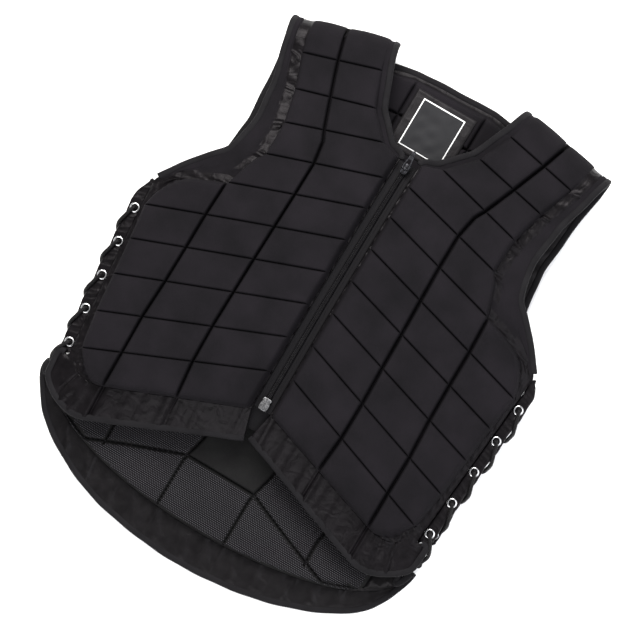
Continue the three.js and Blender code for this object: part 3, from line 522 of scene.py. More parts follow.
def addFloor():
    material, tree, shader = newMaterial("white_paper_backdrop")
    colour = shades(tree, noise(tree, studio["floorCloud"], 2.0), 0.3, "#fbfbfb", 0.8, "#fefefe")
    setShader(shader, Base_Color=colour, Roughness=0.9, Specular_IOR_Level=0.1)
    size = studio["floorSize"]
    mesh = bpy.data.meshes.new("floor")
    mesh.from_pydata([(-size, -size, 0), (size, -size, 0), (size, size, 0), (-size, size, 0)], [], [(0, 1, 2, 3)])
    mesh.materials.append(material)
    placed("floor", mesh)


addLamps()
addFloor()


# Laces

lacing = {"frontTop": 0.140, "backTop": 0.098, "bottom": -0.514, "first": 0.049, "pitch": 0.1305, "count": 5,
          "width": 13.0, "thickness": 4.0, "frontMiddle": 0.9665, "frontLean": 0.085, "backMiddle": 0.950,
          "backLean": 0.02, "frontZ": 44.275, "backZ": 17.7}
lace = {"diameter": 4.6, "rise": 4.5, "rim": 1.3, "knot": 9.5}
eyeletHeights = [(lacing["first"] - k * lacing["pitch"]) * halfLength for k in range(lacing["count"])]


def stripMiddle(face, y):  # the middle of a strip at the height y; the strip leans
    return lacing[face + "Middle"] * halfWidth + lacing[face + "Lean"] * y


def stripRaise(side):  # how far the strips, eyelets and laces of a side are moved along the vest
    return float(slantAt(side, lacing["frontMiddle"] * halfWidth))


def lacePoints(side):  # the same route as the solid lace: up through both eyelets, out and under to the next pair
    points = []
    frontTop = lacing["frontZ"] + lacing["thickness"]
    backTop = lacing["backZ"] + lacing["thickness"]
    pitch = lacing["pitch"] * halfLength
    for k, y in enumerate(eyeletHeights):
        front, back = stripMiddle("front", y), stripMiddle("back", y)
        points += [(back, y, lacing["backZ"] - lace["rise"] - lace["rim"]), (back, y, backTop + lace["rise"]),
                   (front, y, lacing["frontZ"] - lace["rise"]), (front, y, frontTop + lace["rise"])]
        if k < lacing["count"] - 1:
            edge = front + lacing["width"] / 2
            for x, share, z in ((front + 2.6, 0.12, frontTop + 3.3), (front + 4.6, 0.3, frontTop + 2.6),
                                (edge + 0.3, 0.46, frontTop + 1.2), (edge + 1.9, 0.62, lacing["frontZ"] - 3),
                                (edge + 0.8, 0.78, backTop + 4), (edge - 1.5, 0.9, lacing["backZ"] - 2.5)):
                points.append((x, y - share * pitch, z))
    front, y = stripMiddle("front", eyeletHeights[-1]), eyeletHeights[-1]
    points += [(front + 4, y - 6, frontTop + 3.4), (front + 8.5, y - 14, frontTop + 1.5), (front + 11.5, y - 24, 39),
               (front + 8, y - 34, 31)]
    return np.array(points) * (side, 1, 1) + (0, stripRaise(side), 0)


def curveThrough(points, step):  # a Catmull-Rom curve through all the points, evenly resampled
    padded = np.concatenate([points[:1] * 2 - points[1:2], points, points[-1:] * 2 - points[-2:-1]])
    t = np.linspace(0, 1, 24, endpoint=False)[:, None]
    parts = []
    for k in range(1, len(padded) - 2):
        a, b, c, d = padded[k - 1:k + 3]
        parts.append(0.5 * (2 * b + (c - a) * t + (2 * a - 5 * b + 4 * c - d) * t ** 2
                            + (3 * b - a - 3 * c + d) * t ** 3))
    return resampled(np.concatenate(parts + [padded[-2:-1]]), step, 2)


def tubeFrames(path):  # directions across a tube, carried along without twist
    along = unit(np.gradient(path, axis=0))
    across = np.zeros_like(path)
    start = np.cross(along[0], (0.0, 0.0, 1.0))
    if np.linalg.norm(start) < 0.1:
        start = np.cross(along[0], (1.0, 0.0, 0.0))
    across[0] = start / np.linalg.norm(start)
    for k in range(1, len(path)):
        moved = across[k - 1] - along[k] * np.dot(across[k - 1], along[k])
        across[k] = moved / np.linalg.norm(moved)
    return along, across, np.cross(along, across)


def knotShape(middle, along, radius, seed):  # a ball of cord: a sphere whose radius swells in three crossing turns
    rows, columns = 20, 28
    u = np.linspace(0.02, math.pi - 0.02, rows)[:, None]
    v = np.linspace(0, 2 * math.pi, columns, endpoint=False)[None, :]
    turns = np.abs(np.sin(1.5 * v + 2.2 * u + seed)) ** 0.7
    reach = radius * (0.8 + 0.2 * turns)
    local = np.stack([reach * np.sin(u) * np.cos(v), reach * np.sin(u) * np.sin(v), reach * np.cos(u) + 0 * v], -1)
    axis = Vector(along).to_track_quat("Z", "Y").to_matrix()
    points = local.reshape(-1, 3) @ np.array(axis).T + middle
    uv = np.stack(np.broadcast_arrays(v * radius, u * radius), -1).reshape(-1, 2)
    return points, outwards(points, tubeFaces(rows, columns)), uv


def addLace(side, hand):
    path = curveThrough(lacePoints(side), 1.6)
    along, across, over = tubeFrames(path)
    points, faces = sweep(path, across, over, roundProfile(lace["diameter"] / 2, lace["diameter"] / 2, 2.0, 12))
    length = lengthsAlong(path)
    piece = addPiece(f"braided_lace_{hand}", points, outwards(points, faces), [cloths["cord"]],
                     [f"lace_{hand}"], uv=wrapped(length, math.pi * lace["diameter"], 12))
    seat = lace["knot"] / 2
    for name, middle, direction, seed in (("knot", path[-1] + along[-1] * seat, along[-1], 1.0),
                                          ("stop", path[0] - along[0] * seat, along[0], 2.3)):
        points, faces, uv = knotShape(middle, direction, seat, seed)
        addPiece(f"lace_{name}_tied_{hand}", points, faces, [cloths["cord"]],
                              [f"lace_{name}_{hand}"], uv=uv)
    world = toWorld(path)
    print("lace", hand, "length mm", round(float(length[-1])))


for side, hand in hands:
    addLace(side, hand)


# Front halves

# Lines across a front half; every value is a share of the half length or the half width, except fall and bend.
frontRows = {
    "at": [0.972, 0.935, 0.798, 0.684, 0.642, 0.554, 0.529, 0.433, 0.306, 0.179, 0.053, -0.077, -0.21, -0.36, -0.468],
    "fall": [0.23, 0.25, 0.25, 0.29, 0.29, 0.29, 0.30, 0.31, 0.32, 0.33, 0.35, 0.375, 0.395, 0.37, 0.40],
    "neck": [0.290, 0.271, 0.202, 0.086, 0, 0, 0, 0, 0, 0, 0, 0, 0, 0, 0],
    "split": [0.534, 0.517, 0.457, 0.399, 0.375, 0.356, 0.356, 0.356, 0.360, 0.364, 0.367, 0.371, 0.369, 0.353, 0.348],
    "arm": [0.690, 0.676, 0.618, 0.578, 0.574, 0.572, 0.605, 0.651, 0.657, 0.657, 0.659, 0.668, 0.666, 0.666, 0.664],
    "rim": [0.769, 0.755, 0.710, 0.690, 0.694, 0.725, 0.765, 0.775, 0.775, 0.775, 0.775, 0.775, 0.775, 0.775, 0.775],
    "side": [0.925, 0.925, 0.925, 0.925, 0.925, 0.925, 0.925, 0.901, 0.934, 0.912, 0.893, 0.874, 0.847, 0.810, 0.862],
    "crown": [0, 0.06, 0.25, 0.55, 0.66, 0.81, 0.84, 0.94, 0.98, 1, 1, 0.94, 0.83, 0.68, 0.38],
    "flank": [0, 0.02, 0.12, 0.20, 0.22, 0.25, 0.25, 0.25, 0.25, 0.25, 0.25, 0.25, 0.25, 0.23, 0.20],
    "raised": [0.95, 0.70, 0.25, 0, 0, 0, 0, 0, 0, 0, 0, 0, 0, 0, 0],
    "bend": [0, 0, 0, 0, 0, 0, -1.01, -0.455, 0, 0, 0, 0, 0, 2.40, 2.78],
}
frontSeams = [1, 2, 3, 5, 7, 8, 9, 10, 11, 12]
# The row of blocks below each line; the lines at the neck's end and at the armhole's corner start no new row.
frontBlocks = [0, 1, 2, 3, 3, 4, 4, 5, 6, 7, 8, 9, 10, 11, 12]
front = {"armhole": 6, "sideTop": 7, "foamEnd": 13, "hem": 14, "rowDepth": 6.2, "rowRadius": 2.2, "rowGap": 0.15,
         "longDepth": 13.0, "longRadius": 2.6, "longGap": (0.7, 1.15), "wallRadius": 6.0, "crown": 1.0, "foldSteps": 14,
         "cornerRadius": 24.0, "hemCorner": 5.0, "seam": 12.5, "seamDepth": 1.1, "hemGather": 5.4, "armGather": 2.6,
         "pinch": 4.2, "lean": 0.4, "rowSlope": 0.95, "hemSlope": 0.93}


def rowValue(name, p):  # p counts the lines from the shoulder; it runs from -1 to 0 over the shoulder's fold
    values = frontRows[name]
    return np.interp(p, np.arange(-1, len(values)), [shoulderTop.get(name, values[0])] + values)


def rowHeight(p, x):  # the line starts at its height on the zip, falls to the side and bends beyond the arm groove
    turned = np.maximum(0, x - rowValue("arm", p) * halfWidth)
    return rowValue("at", p) * halfLength - rowValue("fall", p) * x + rowValue("bend", p) / halfWidth * turned ** 2


def liningHeight(p, x):  # a flat arch between the flank's and the crown's height
    flank, crown = rowValue("flank", p), rowValue("crown", p)
    return foldLining + (flank + (crown - flank) * (1 - (x / halfWidth) ** 2)) * (chestLining - foldLining)


def stations(values, tight, least, step):  # the p of every row of points, from -1 at the top of the shoulder's fold
    parts = [-np.cos(np.linspace(0, math.pi / 2, front["foldSteps"], endpoint=False))]
    for k in range(len(values) - 1):
        length = max(least, (values[k] - values[k + 1]) * halfLength)
        parts.append(k + crowded(length, k in tight, k + 1 in tight, step))
    return np.concatenate(parts + [[len(values) - 1.0]])


def acrossColumns(controls, columns, step):
    # The place u of every point across, from 0 to the number of columns, and its x on each row: straight between the
    # controls. Each column has its usual width, and whether its two ends are sewn or steep.
    shares = [k + crowded(*column, step) for k, column in enumerate(columns)]
    u = np.concatenate(shares + [[float(len(columns))]])
    cell = np.minimum(u.astype(int), len(columns) - 1)
    return u, controls[cell].T * (1 - (u - cell)) + controls[cell + 1].T * (u - cell)


def frontStations():
    tight = set(frontSeams + [front["foamEnd"], front["hem"], front["sideTop"]])
    return stations(frontRows["at"], tight, 0.0, 5.0)


def frontEdge(p):  # outer edge of a half: the armhole rim, then the lacing strip, then past the strip's lower end
    lower = stripMiddle("front", 0.0)
    x = np.full(p.shape, lower - lacing["width"] / 2)
    for _ in range(8):  # the strip leans, so the place and the height are found in turns
        y = rowHeight(p, x)
        middle = stripMiddle("front", y)
        inside = middle - lacing["width"] / 2 - vest["clearance"]
        below = smooth(lacing["bottom"] * halfLength + 2, lacing["bottom"] * halfLength - 10, y)
        x = inside + below * (lacing["width"] + vest["clearance"])
    rim = rowValue("rim", p) * halfWidth
    opened = smooth(front["armhole"] - 0.85, front["armhole"] + 1.1, p)
    return rim + (x - rim) * opened


def frontGrid(side):
    p = frontStations()
    foam = zipEdge + vest["zipCover"] + rowValue("neck", p) * halfWidth
    coverGap = np.where(rowValue("neck", p) > 0.005, vest["neckCover"], vest["zipCover"])
    inner = foam - coverGap
    inner = np.where(p > front["foamEnd"], inner + (vest["hemGap"] - inner) * (p - front["foamEnd"]), inner)
    split, arm = rowValue("split", p) * halfWidth, rowValue("arm", p) * halfWidth
    edge = frontEdge(p)
    sideFoam = np.minimum(rowValue("side", p) * halfWidth, edge - 3)
    sideFoam = np.where(p < front["sideTop"] - 0.5, arm + (edge - arm) * 0.7, sideFoam)
    controls = np.stack([inner, foam, split, arm, sideFoam, edge])
    x = acrossColumns(controls, [(6.0, False, True), (84.0, True, True), (72.0, True, True), (50.0, True, True),
                                 (10.0, True, False)], 5.0)[1]
    return p[:, None], x, {"foam": foam[:, None], "split": split[:, None], "arm": arm[:, None], "edge": edge[:, None],
                           "inner": inner[:, None], "slit": front["longGap"][int(side > 0)], "lean": side}


def roundedCorner(first, second, radius):  # distance inside a corner of two edges, rounded with the radius
    both = (first < radius) & (second < radius)
    return np.where(both, radius - np.hypot(radius - first, radius - second), np.minimum(first, second))


def frontRelief(p, x, lines, seed, arc):
    # How far the cloth stands off the lining: foam blocks with rounded shoulders, sewn grooves, gathered cover.
    y = rowHeight(p, x)
    rowGap = np.full(x.shape, 99.0)  # distances to lines are heights above them, less a little as the lines slant
    for k in frontSeams:
        rowGap = np.minimum(rowGap, np.abs(y - rowHeight(k, x)) * front["rowSlope"] + arc)
    inSide = (x > lines["arm"]) & (p > front["sideTop"])
    atHem = p > front["foamEnd"]
    hemGap = np.where(atHem, -1.0, (y - rowHeight(front["foamEnd"], x)) * front["hemSlope"])
    armGap = lines["arm"] - x
    sideLine = rowValue("side", p) * halfWidth - x
    topGap = (rowHeight(front["sideTop"], x) - y) * front["rowSlope"]
    main = roundedCorner(x - lines["foam"], hemGap, front["hemCorner"])
    above = p <= front["sideTop"]
    main = np.where(above, np.minimum(main, armGap), main)
    sideUpper = roundedCorner(sideLine, topGap, front["cornerRadius"])
    sideLower = roundedCorner(sideLine, hemGap, front["cornerRadius"] + 8)
    sideGap = np.minimum(sideUpper, sideLower)
    wall = np.where(x > lines["arm"], np.where(p > front["sideTop"] - 0.5, sideGap, armGap), main)
    rowDrop = groove(rowGap, front["rowGap"], front["rowDepth"], front["rowRadius"])
    longGap = np.minimum(np.abs(x - lines["split"]), np.where(above, 99.0, np.abs(x - lines["arm"])))
    longDrop = groove(longGap, lines["slit"], front["longDepth"], front["longRadius"])
    room = vest["foam"] - vest["cover"]
    raised = room * rowValue("raised", p) * (p < front["armhole"])
    wallDrop = groove(wall, 0, room - raised, front["wallRadius"])
    drop = np.minimum((rowDrop ** 3 + longDrop ** 3 + wallDrop ** 3) ** (1 / 3), room)
    nearest = np.minimum(np.minimum(rowGap, longGap), np.maximum(wall, 0))
    block = np.floor(np.interp(np.maximum(p, 0), np.arange(len(frontBlocks)), frontBlocks)) * 3
    block = (block + (x > lines["split"]) + (x > lines["arm"])).astype(int)
    heights = np.random.default_rng(seed).uniform(-0.7, 0.5, 60)[block]  # no two blocks stand quite alike
    full = 1 - np.exp(-nearest / 9.0)
    height = vest["foam"] - drop + (front["crown"] + heights) * full
    height += 0.35 * unevenness(x, y + arc, seed + 3, 30, 90) * full
    outside = wall <= 0
    away = np.maximum(0, -wall)
    edgeGap = np.minimum(lines["edge"] - x, x - lines["inner"] + 6)
    fade = (1 - smooth(9, 15, away)) * smooth(1.0, 5.0, edgeGap) * smooth(-0.5, 2.5, away)
    along = np.where(atHem | inSide, x * 0.9 + np.where(atHem, 0, y), y + arc + 0 * x)
    gather = puckers(along + np.where(atHem, 1.1, 0.35 * np.sin(y / 23)) * away, away, seed + 11)
    atNeck = (x < lines["foam"]) & (rowValue("neck", p) > 0.005)
    gather = gather * np.where(atNeck, 0.3, 1.0)
    pinch = np.zeros(x.shape)
    for name in ("split", "arm"):
        # a dark fold that leans to one side, and a ridge by it
        beside = x - lines[name] + lines["lean"] * front["lean"] * away
        core, ridge = np.exp(-(beside / 1.6) ** 2), np.exp(-((beside - 4.2) / 2.6) ** 2)
        pinch += (0.9 * ridge + 0.5 * np.exp(-((beside + 6.0) / 3.5) ** 2) - core) * atHem
    border = outside & (away > front["seam"]) & (lines["arm"] < x) & (p < front["armhole"] + 0.9)
    sewn = front["seamDepth"] * np.exp(-((away - front["seam"]) / 0.9) ** 2) * (lines["arm"] < x)
    gather *= np.where(atHem, front["hemGather"], front["armGather"] * smooth(-0.2, 0.9, p))
    lift = (gather - 0.9 + front["pinch"] * pinch) * fade - sewn
    height = np.where(outside, vest["cover"] + raised + lift, height)
    under = raised * (1 - smooth(0, 5, wall))
    return height, outside & ~border & ~(outside & atNeck), y, under


def frontPoint(p, x, y, deep, side):  # over the fold the cloth turns round the shoulder's middle line
    angle = np.where(p < 0, np.arccos(np.clip(-p, 0, 1)), math.pi / 2)
    radius = vest["foldInner"] + deep
    folded = foldRadius + vest["clearance"] + radius * np.sin(angle)
    z = np.where(p < 0, folded, liningHeight(p, x) + deep)
    return np.stack([side * x, y + slantAt(side, x) + np.where(p < 0, radius * np.cos(angle), 0), z], -1)


def frontHalf(side, hand, seed):
    p, x, lines = frontGrid(side)
    arc = np.where(p < 0, (math.pi / 2 - np.arccos(np.clip(-p, 0, 1))) * foldRadius, 0)
    deep, outside, y, raised = frontRelief(p, x, lines, seed, arc)
    upper = frontPoint(p, x, y, deep, side)
    under = 0.5 * (1 - shoulder(np.abs(x - lines["split"]), 3.0)) + 0.3 * unevenness(x, y, seed + 5, 40, 90)
    lower = frontPoint(p, x, y, np.clip(under, 0, 0.6) * (p > 0) + raised, side)
    points, faces = closedGrid(upper, lower, None, side < 0)
    cover = outside[:-1, :-1] & outside[1:, 1:]
    faceMaterial = np.concatenate([cover.ravel().astype(int), np.full(cover.size, 2),
                                   np.full(sum(len(f) for f in faces[2:]), 1)])
    uv = doubled(np.abs(upper[..., 0]), lengthsAlong(lower[:, 30])[:, None])
    piece = addPiece(f"front_blocks_{hand}", points, faces, [cloths["block"], cloths["taffeta"], cloths["mesh"]],
                     [f"front_panel_{hand}"], faceMaterial=faceMaterial, uv=uv)
    return upper, lower


binding = {"out": 4.7, "over": 3.4, "lip": 1.1, "step": 2.4, "power": 3.2, "points": 18, "girth": 24}


def addBinding(name, low, high, turn, replaced, smoothing):
    # A tape folded over an edge: a rounded profile along the middle of the edge, from the cloth to past it.
    both = resampled(np.concatenate([low, high], -1), binding["step"], smoothing)
    low, high = both[:, :3], both[:, 3:]
    middle = (low + high) / 2
    up = unit(high - low)
    along = unit(np.gradient(middle, axis=0))
    out = unit(np.cross(along, up)) * turn
    width = (binding["out"] + binding["over"]) / 2
    shift = (binding["out"] - binding["over"]) / 2
    profile = roundProfile(1.0, 1.0, binding["power"], binding["points"])
    thick = (np.linalg.norm(high - low, axis=1) / 2 + binding["lip"])[:, None, None]
    length = lengthsAlong(middle)
    sway = (0.25 * np.sin(length / 7.3) + 0.2 * np.sin(length / 17.7 + 1))[:, None, None]
    rings = (middle[:, None] + (shift + sway + width * profile[None, :, :1]) * out[:, None]
             + thick * profile[None, :, 1:] * up[:, None])
    points = rings.reshape(-1, 3)
    addPiece(name, points, outwards(points, tubeFaces(len(middle), binding["points"])), [cloths["tape"]],
             replaced, uv=wrapped(length, binding["girth"], binding["points"]))


def edgeOf(upper, lower, picks):  # the picked points of both sheets, lower and upper
    return np.array([lower[j, i] for j, i in picks]), np.array([upper[j, i] for j, i in picks])


def addFront(side, hand, seed):
    upper, lower = frontHalf(side, hand, seed)
    rows, last = upper.shape[0], upper.shape[1] - 1
    corner, armhole, end = [int(k) for k in np.searchsorted(frontStations(), (4.0, 6.75, front["foamEnd"]))]
    neck = [(j, 0) for j in range(corner + 1)]
    arm = [(j, last) for j in range(armhole + 1)]
    hem = [(rows - 1, i) for i in range(last + 1)] + [(j, last) for j in range(rows - 2, end, -1)]
    for name, picks, turn, replaced, smoothing in (("neck", neck, side, "neck_binding_front", 3),
                                                   ("armhole", arm, -side, "arm_binding_front", 4),
                                                   ("hem", hem, side, "hem_binding", 5)):
        addBinding(f"{name}_tape_{hand}", *edgeOf(upper, lower, picks), turn, [f"{replaced}_{hand}"], smoothing)


for side, hand, seed in ((-1, "left", 21), (1, "right", 42)):
    addFront(side, hand, seed)
print("front halves ready")


# Back, with its neck, straps and tail

# Lines across the back from the shoulders to the waist, with shares as in the front: level is how far out a line
# starts to fall, an edge of 0 stands for the lacing strip, lift is that of the curled sides, and rise is the height
# of the cover between the underside and the lining.
backRows = {
    "at": [0.972, 0.782, 0.546, 0.302, 0.200, 0.134, 0.073, -0.155, -0.385, -0.490, -0.590],
    "fall": [0.23, 0.05, 0.05, 0.00, 0.05, 0.03, 0.05, 0.10, 0.15, 0.08, 0.387],
    "level": [0.201, 0.178, 0.178, 0.178, 0.178, 0.178, 0.178, 0.178, 0.178, 0.178, 0.178],
    "foam": [0.702, 0.680, 0.665, 0.680, 0.800, 0.860, 0.860, 0.860, 0.850, 0.845, 0.800],
    "edge": [0.784, 0.765, 0.738, 0.775, 0.885, 0, 0, 0, 0, 0, 0.984],
    "lift": [0, 0, 0, 0.3, 0.8, 1, 1, 1, 1, 0.9, 0.5],
    "rise": [0.1, 0.5, 0.8, 0.5, 0.2, 0, 0, 0, 0, 0, 0],
}
tailRows = {"depth": [0.862, 0.930, 0.984], "foam": [0.750, 0.720, 0.700], "edge": [0.984, 0.945, 0.875]}
back = {"seams": [1, 2, 3, 6, 7, 8, 10], "grooves": (0.178, 0.540), "strap": 0.348, "lift": 18.0, "curlStart": 0.72,
        "tailMiddle": -0.585, "tailWidth": 0.99, "tailRoom": 5.0, "depth": 6.5, "radius": 3.0, "gap": 0.6,
        "underDepth": 4.5, "underRadius": 3.6, "underGap": 0.4, "wall": 6.0, "corner": 10.0, "neckRoom": 12.0,
        "evenFrom": -0.50, "evenTo": -0.66, "bare": 0.9, "gather": 1.2, "tuck": 8.0, "plainFrom": 8, "shadeStripEnd": 10,
        "aside": 8.5, "endBack": 4.5, "squeeze": 0.012, "rowSlope": 0.96, "tailSlope": 0.95, "steep": 0.9}
backStripEdge = lacing["backMiddle"] * halfWidth - lacing["width"] / 2 - vest["clearance"]


def backValue(name, p):  # p counts the lines from the shoulder, from -1 to 0 over its fold
    values = list(backRows[name]) + tailRows.get(name, [0.0] * 3)
    if name == "edge":  # where the back is laced it ends at the strip, which leans
        places = backRows["at"] + [0] * 3
        lean = lacing["backLean"] * halfLength
        values = [v or (backStripEdge + lean * (at - 0.05)) / halfWidth for v, at in zip(values, places)]
    return np.interp(p, np.arange(-1, len(values)), [shoulderTop.get(name, values[0])] + values)


def backSlant(x, y):  # the slant of the sides, none at the middle and none at the tail
    even = smooth(back["evenTo"], back["evenFrom"], y / halfLength)
    return even * slantAt(np.sign(x), x) * np.minimum(1, np.abs(x) / (back["strap"] * halfWidth))


def tailHeight(x, depth):  # half an ellipse round the tail
    middle = back["tailMiddle"] * halfLength
    across = np.minimum(1, np.abs(x) / (back["tailWidth"] * halfWidth))
    return middle - (depth * halfLength + middle) * np.sqrt(1 - across ** 2)


def backHeight(p, x):  # straight lines down to the waist, then ellipses round the tail
    body = np.minimum(p, 10.0)
    out = np.maximum(backValue("level", body) * halfWidth, np.abs(x))
    straight = backValue("at", body) * halfLength - backValue("fall", body) * out
    out = np.maximum(backRows["level"][10] * halfWidth, np.abs(x))
    waist = backRows["at"][10] * halfLength - backRows["fall"][10] * out
    first = tailHeight(x, tailRows["depth"][0])
    waist = np.maximum(waist, first + back["tailRoom"])
    straight = np.maximum(straight, first + back["tailRoom"])
    share = np.clip(p - 10, 0, 1)
    beyond = tailHeight(x, np.interp(p, [11, 12, 13], tailRows["depth"]))
    return np.where(p <= 10, straight, np.where(p <= 11, waist + (first - waist) * share, beyond))


def backSheets():
    # Two grids, lining above and underside below, as functions of the line p and the place u across it.
    p = stations(backRows["at"] + [-d for d in tailRows["depth"]], set(back["seams"] + [11]), 6.0, 4.0)
    first, second = [np.full(p.shape, g * halfWidth) for g in back["grooves"]]
    strap = np.full(p.shape, back["strap"] * halfWidth)
    edge = backValue("edge", p) * halfWidth
    foam = np.minimum(backValue("foam", p) * halfWidth, edge - 3)
    controls = np.stack([0 * p, first, strap, second, foam, edge])
    u, half = acrossColumns(controls, [(45.0, False, True), (43.0, True, False), (48.0, False, True),
                                       (55.0, True, True), (22.0, True, False)], 4.0)
    x = np.concatenate([-half[:, :0:-1], half], 1)
    full = np.concatenate([-u[:0:-1], u])
    line = p[:, None]
    y = backHeight(line, x)
    ax = np.abs(x)
    start, end = back["curlStart"] * halfWidth, backStripEdge + vest["clearance"]
    curl = np.clip((ax - start) / (end - start), 0, None)
    floor = backValue("lift", line) * back["lift"] * curl ** 2
    rowGap = np.full(x.shape, 99.0)
    for k in back["seams"]:
        rowGap = np.minimum(rowGap, np.abs(y - backHeight(k, x)) * back["rowSlope"] + 20 * (line < 0))
    longGap = np.abs(ax - first[:, None])
    longGap = np.where(line > 10.2, longGap, np.minimum(longGap, np.abs(ax - second[:, None])))
    foamWall = np.where(line > 11, -1.0, foam[:, None] - ax)
    tailWall = (y - tailHeight(x, tailRows["depth"][0])) * back["tailSlope"]
    neckWall = np.where(ax < strap[:, None] + back["neckRoom"], backHeight(0, x) - y - vest["neckCover"], 99.0)
    neckWall = np.where(line > 1.2, 99.0, np.maximum(neckWall, ax - strap[:, None] - vest["neckCover"]))
    wall = roundedCorner(foamWall, np.minimum(tailWall, neckWall), back["corner"])
    room = vest["foam"] - vest["cover"]
    wallDrop = groove(wall, 0, room, back["wall"])
    seam = np.minimum(rowGap, longGap)
    lineDrop = groove(seam, back["gap"], back["depth"], back["radius"])
    underDrop = groove(seam, back["underGap"], back["underDepth"], back["underRadius"])
    crown = 0.5 * (1 - np.exp(-np.minimum(seam, np.maximum(wall, 0)) / 9))
    top = floor + vest["foam"] - np.minimum((lineDrop ** 3 + wallDrop ** 3) ** (1 / 3), room) + crown
    top += 0.3 * unevenness(x, y, 5, 35, 90) * (1 - np.exp(-seam / 9))
    under = floor + underDrop
    lowCover = floor + back["bare"] + backValue("rise", line) * (room - back["bare"])
    away = np.maximum(0, -wall)
    edgeGap = np.where(line > 11, y - tailHeight(x, tailRows["depth"][2]), edge[:, None] - ax)
    fade = smooth(-0.5, 3, away) * smooth(2, 7, edgeGap)
    gather = puckers(np.where(line > 10.9, x, y), away, 77, (13.0, 21.0, 34.0)) * fade
    outside = wall <= 0
    under = np.where(outside, lowCover, under)
    top = np.where(outside, lowCover + vest["cover"] + back["gather"] * gather, top)
    under = np.where(outside, under, np.minimum(under, top - 4))
    moved = y + backSlant(x, y)
    angle = np.where(line < 0, np.arccos(np.clip(-line, 0, 1)), math.pi / 2)
    sheets = []
    low = y / halfLength  # the tail lies a little to one side, less so at its round end
    tailShift = back["endBack"] * smooth(100, 200, ax) * smooth(-0.62, -0.78, low) - back["aside"] - back["squeeze"] * x
    tailShift *= smooth(-0.53, -0.68, low)
    corners = smooth(205, 245, ax) * smooth(-0.50, -0.535, low) * smooth(-0.66, -0.57, low)
    tailShift -= back["tuck"] * np.sign(x) * corners  # its upper corners tuck in under the laces
    for z in (top, under):  # over the fold the cloth turns round the shoulder's middle line
        reach = foldRadius - z
        folded = np.where(line < 0, foldRadius - reach * np.sin(angle), z)
        sheets.append(np.stack([x + tailShift, moved + np.where(line < 0, reach * np.cos(angle), 0), folded], -1))
    upper, lower = sheets
    return p, full, upper, lower, outside


def steepCells(sheet, axis):  # cells that rise almost straight up along the axis
    step = np.diff(sheet[:, :-1] if axis == 0 else sheet[:-1], axis=axis)
    return np.abs(step[..., 2]) > back["steep"] * np.hypot(step[..., 0], step[..., 1])


def addBack():
    p, u, upper, lower, outside = backSheets()
    kept = (np.abs(u[:-1] + u[1:]) / 2 >= 2)[None, :] | (np.arange(len(p) - 1) >= front["foldSteps"])[:, None]
    points, faces = closedGrid(upper, lower, kept)
    cover = (outside[:-1, :-1] & outside[1:, 1:])[kept].astype(int)
    centre = (p[:-1] + p[1:])[:, None] / 2
    lined = np.broadcast_to(centre > back["plainFrom"], kept.shape)
    # Painted shade: in the middle column, from where the mesh starts down to the waist, the plain darker lining cloth
    # takes the place of the mesh and stands for the shadow that the front's hem casts there.
    meshed = lined & ~((np.abs(u[:-1] + u[1:])[None, :] / 2 < 1) & (centre < back["shadeStripEnd"]))
    # The steep sides of the lining's blocks are plain: the mesh is only pressed flat on their tops.
    meshed = meshed & ~steepCells(upper, 1) & ~steepCells(upper, 0)
    lining = np.where(meshed[kept], 0, np.where(lined[kept], 3, 2))
    faceMaterial = np.concatenate([np.where(cover == 1, 1, lining), np.where(cover == 1, 1, 2),
                                   np.full(sum(len(f) for f in faces[2:]), 1)])
    piece = addPiece("back_blocks", points, faces, [cloths["mesh"], cloths["hem"], cloths["block"], cloths["lining"]],
                     ["back_panel"], faceMaterial=faceMaterial, uv=doubled(upper[..., 0], upper[..., 1]))
    rows, columns = upper.shape[:2]
    fold = front["foldSteps"]
    left, right = [int(k) for k in np.searchsorted(u, (-2.0, 2.0))]
    stripTop, stripEnd = [int(k) for k in np.searchsorted(p, (5.0, 9.0))]
    neck = [(j, left) for j in range(fold)] + [(fold, i) for i in range(left, right + 1)]
    neck += [(j, right) for j in range(fold - 1, -1, -1)]
    addBinding("neck_tape_back", *edgeOf(upper, lower, neck), -1, ["neck_binding_back"], 4)
    for side, hand in hands:
        arm = [(j, 0 if side < 0 else columns - 1) for j in range(stripTop + 1)]
        addBinding(f"armhole_tape_back_{hand}", *edgeOf(upper, lower, arm), -side, [f"arm_binding_back_{hand}"], 4)
    tail = [(j, 0) for j in range(stripEnd, rows)] + [(rows - 1, i) for i in range(1, columns - 1)]
    tail += [(j, columns - 1) for j in range(rows - 1, stripEnd - 1, -1)]
    addBinding("tail_tape", *edgeOf(upper, lower, tail), 1, ["tail_binding"], 5)
    print("back ready")


addBack()


# Neck patch and label

def sewnPlate(name, size, height, base, thickness, material, replaced, seed):
    # A flat sewn piece at its height on the middle line: a grid with a soft edge that turns down and a slow ripple.
    width, length = size["width"], size["length"]
    x = np.linspace(-width / 2, width / 2, 40)[None, :] + np.zeros((44, 1))
    y = np.linspace(length / 2, -length / 2, 44)[:, None] + np.zeros((1, 40))
    gap = np.minimum(width / 2 - np.abs(x), length / 2 - np.abs(y))
    lift = thickness * (0.35 + 0.65 * shoulder(gap, 1.6)) + 0.35 * unevenness(x, y, seed, 14, 40) * smooth(0, 6, gap)
    upper = np.stack([x, y + height, base + np.maximum(lift, 0.3)], -1)
    lower = np.stack([x, y + height, base + 0 * x], -1)
    points, faces = closedGrid(upper, lower)
    piece = addPiece(name, points, faces, [material], replaced, uv=doubled(x, y))


patch = {"width": 78.0, "length": 74.0, "y": 250.9, "base": 22.1, "thickness": 1.2}
label = {"y": 251.0, "base": 23.4, "thickness": 0.9}
sewnPlate("neck_patch_cloth", patch, patch["y"], patch["base"], patch["thickness"], cloths["flat"],
          ["neck_patch"], 31)
sewnPlate("plain_label", labelSize, label["y"], label["base"], label["thickness"], cloths["label"],
          ["neck_label"], 33)


# Lacing strips and eyelets

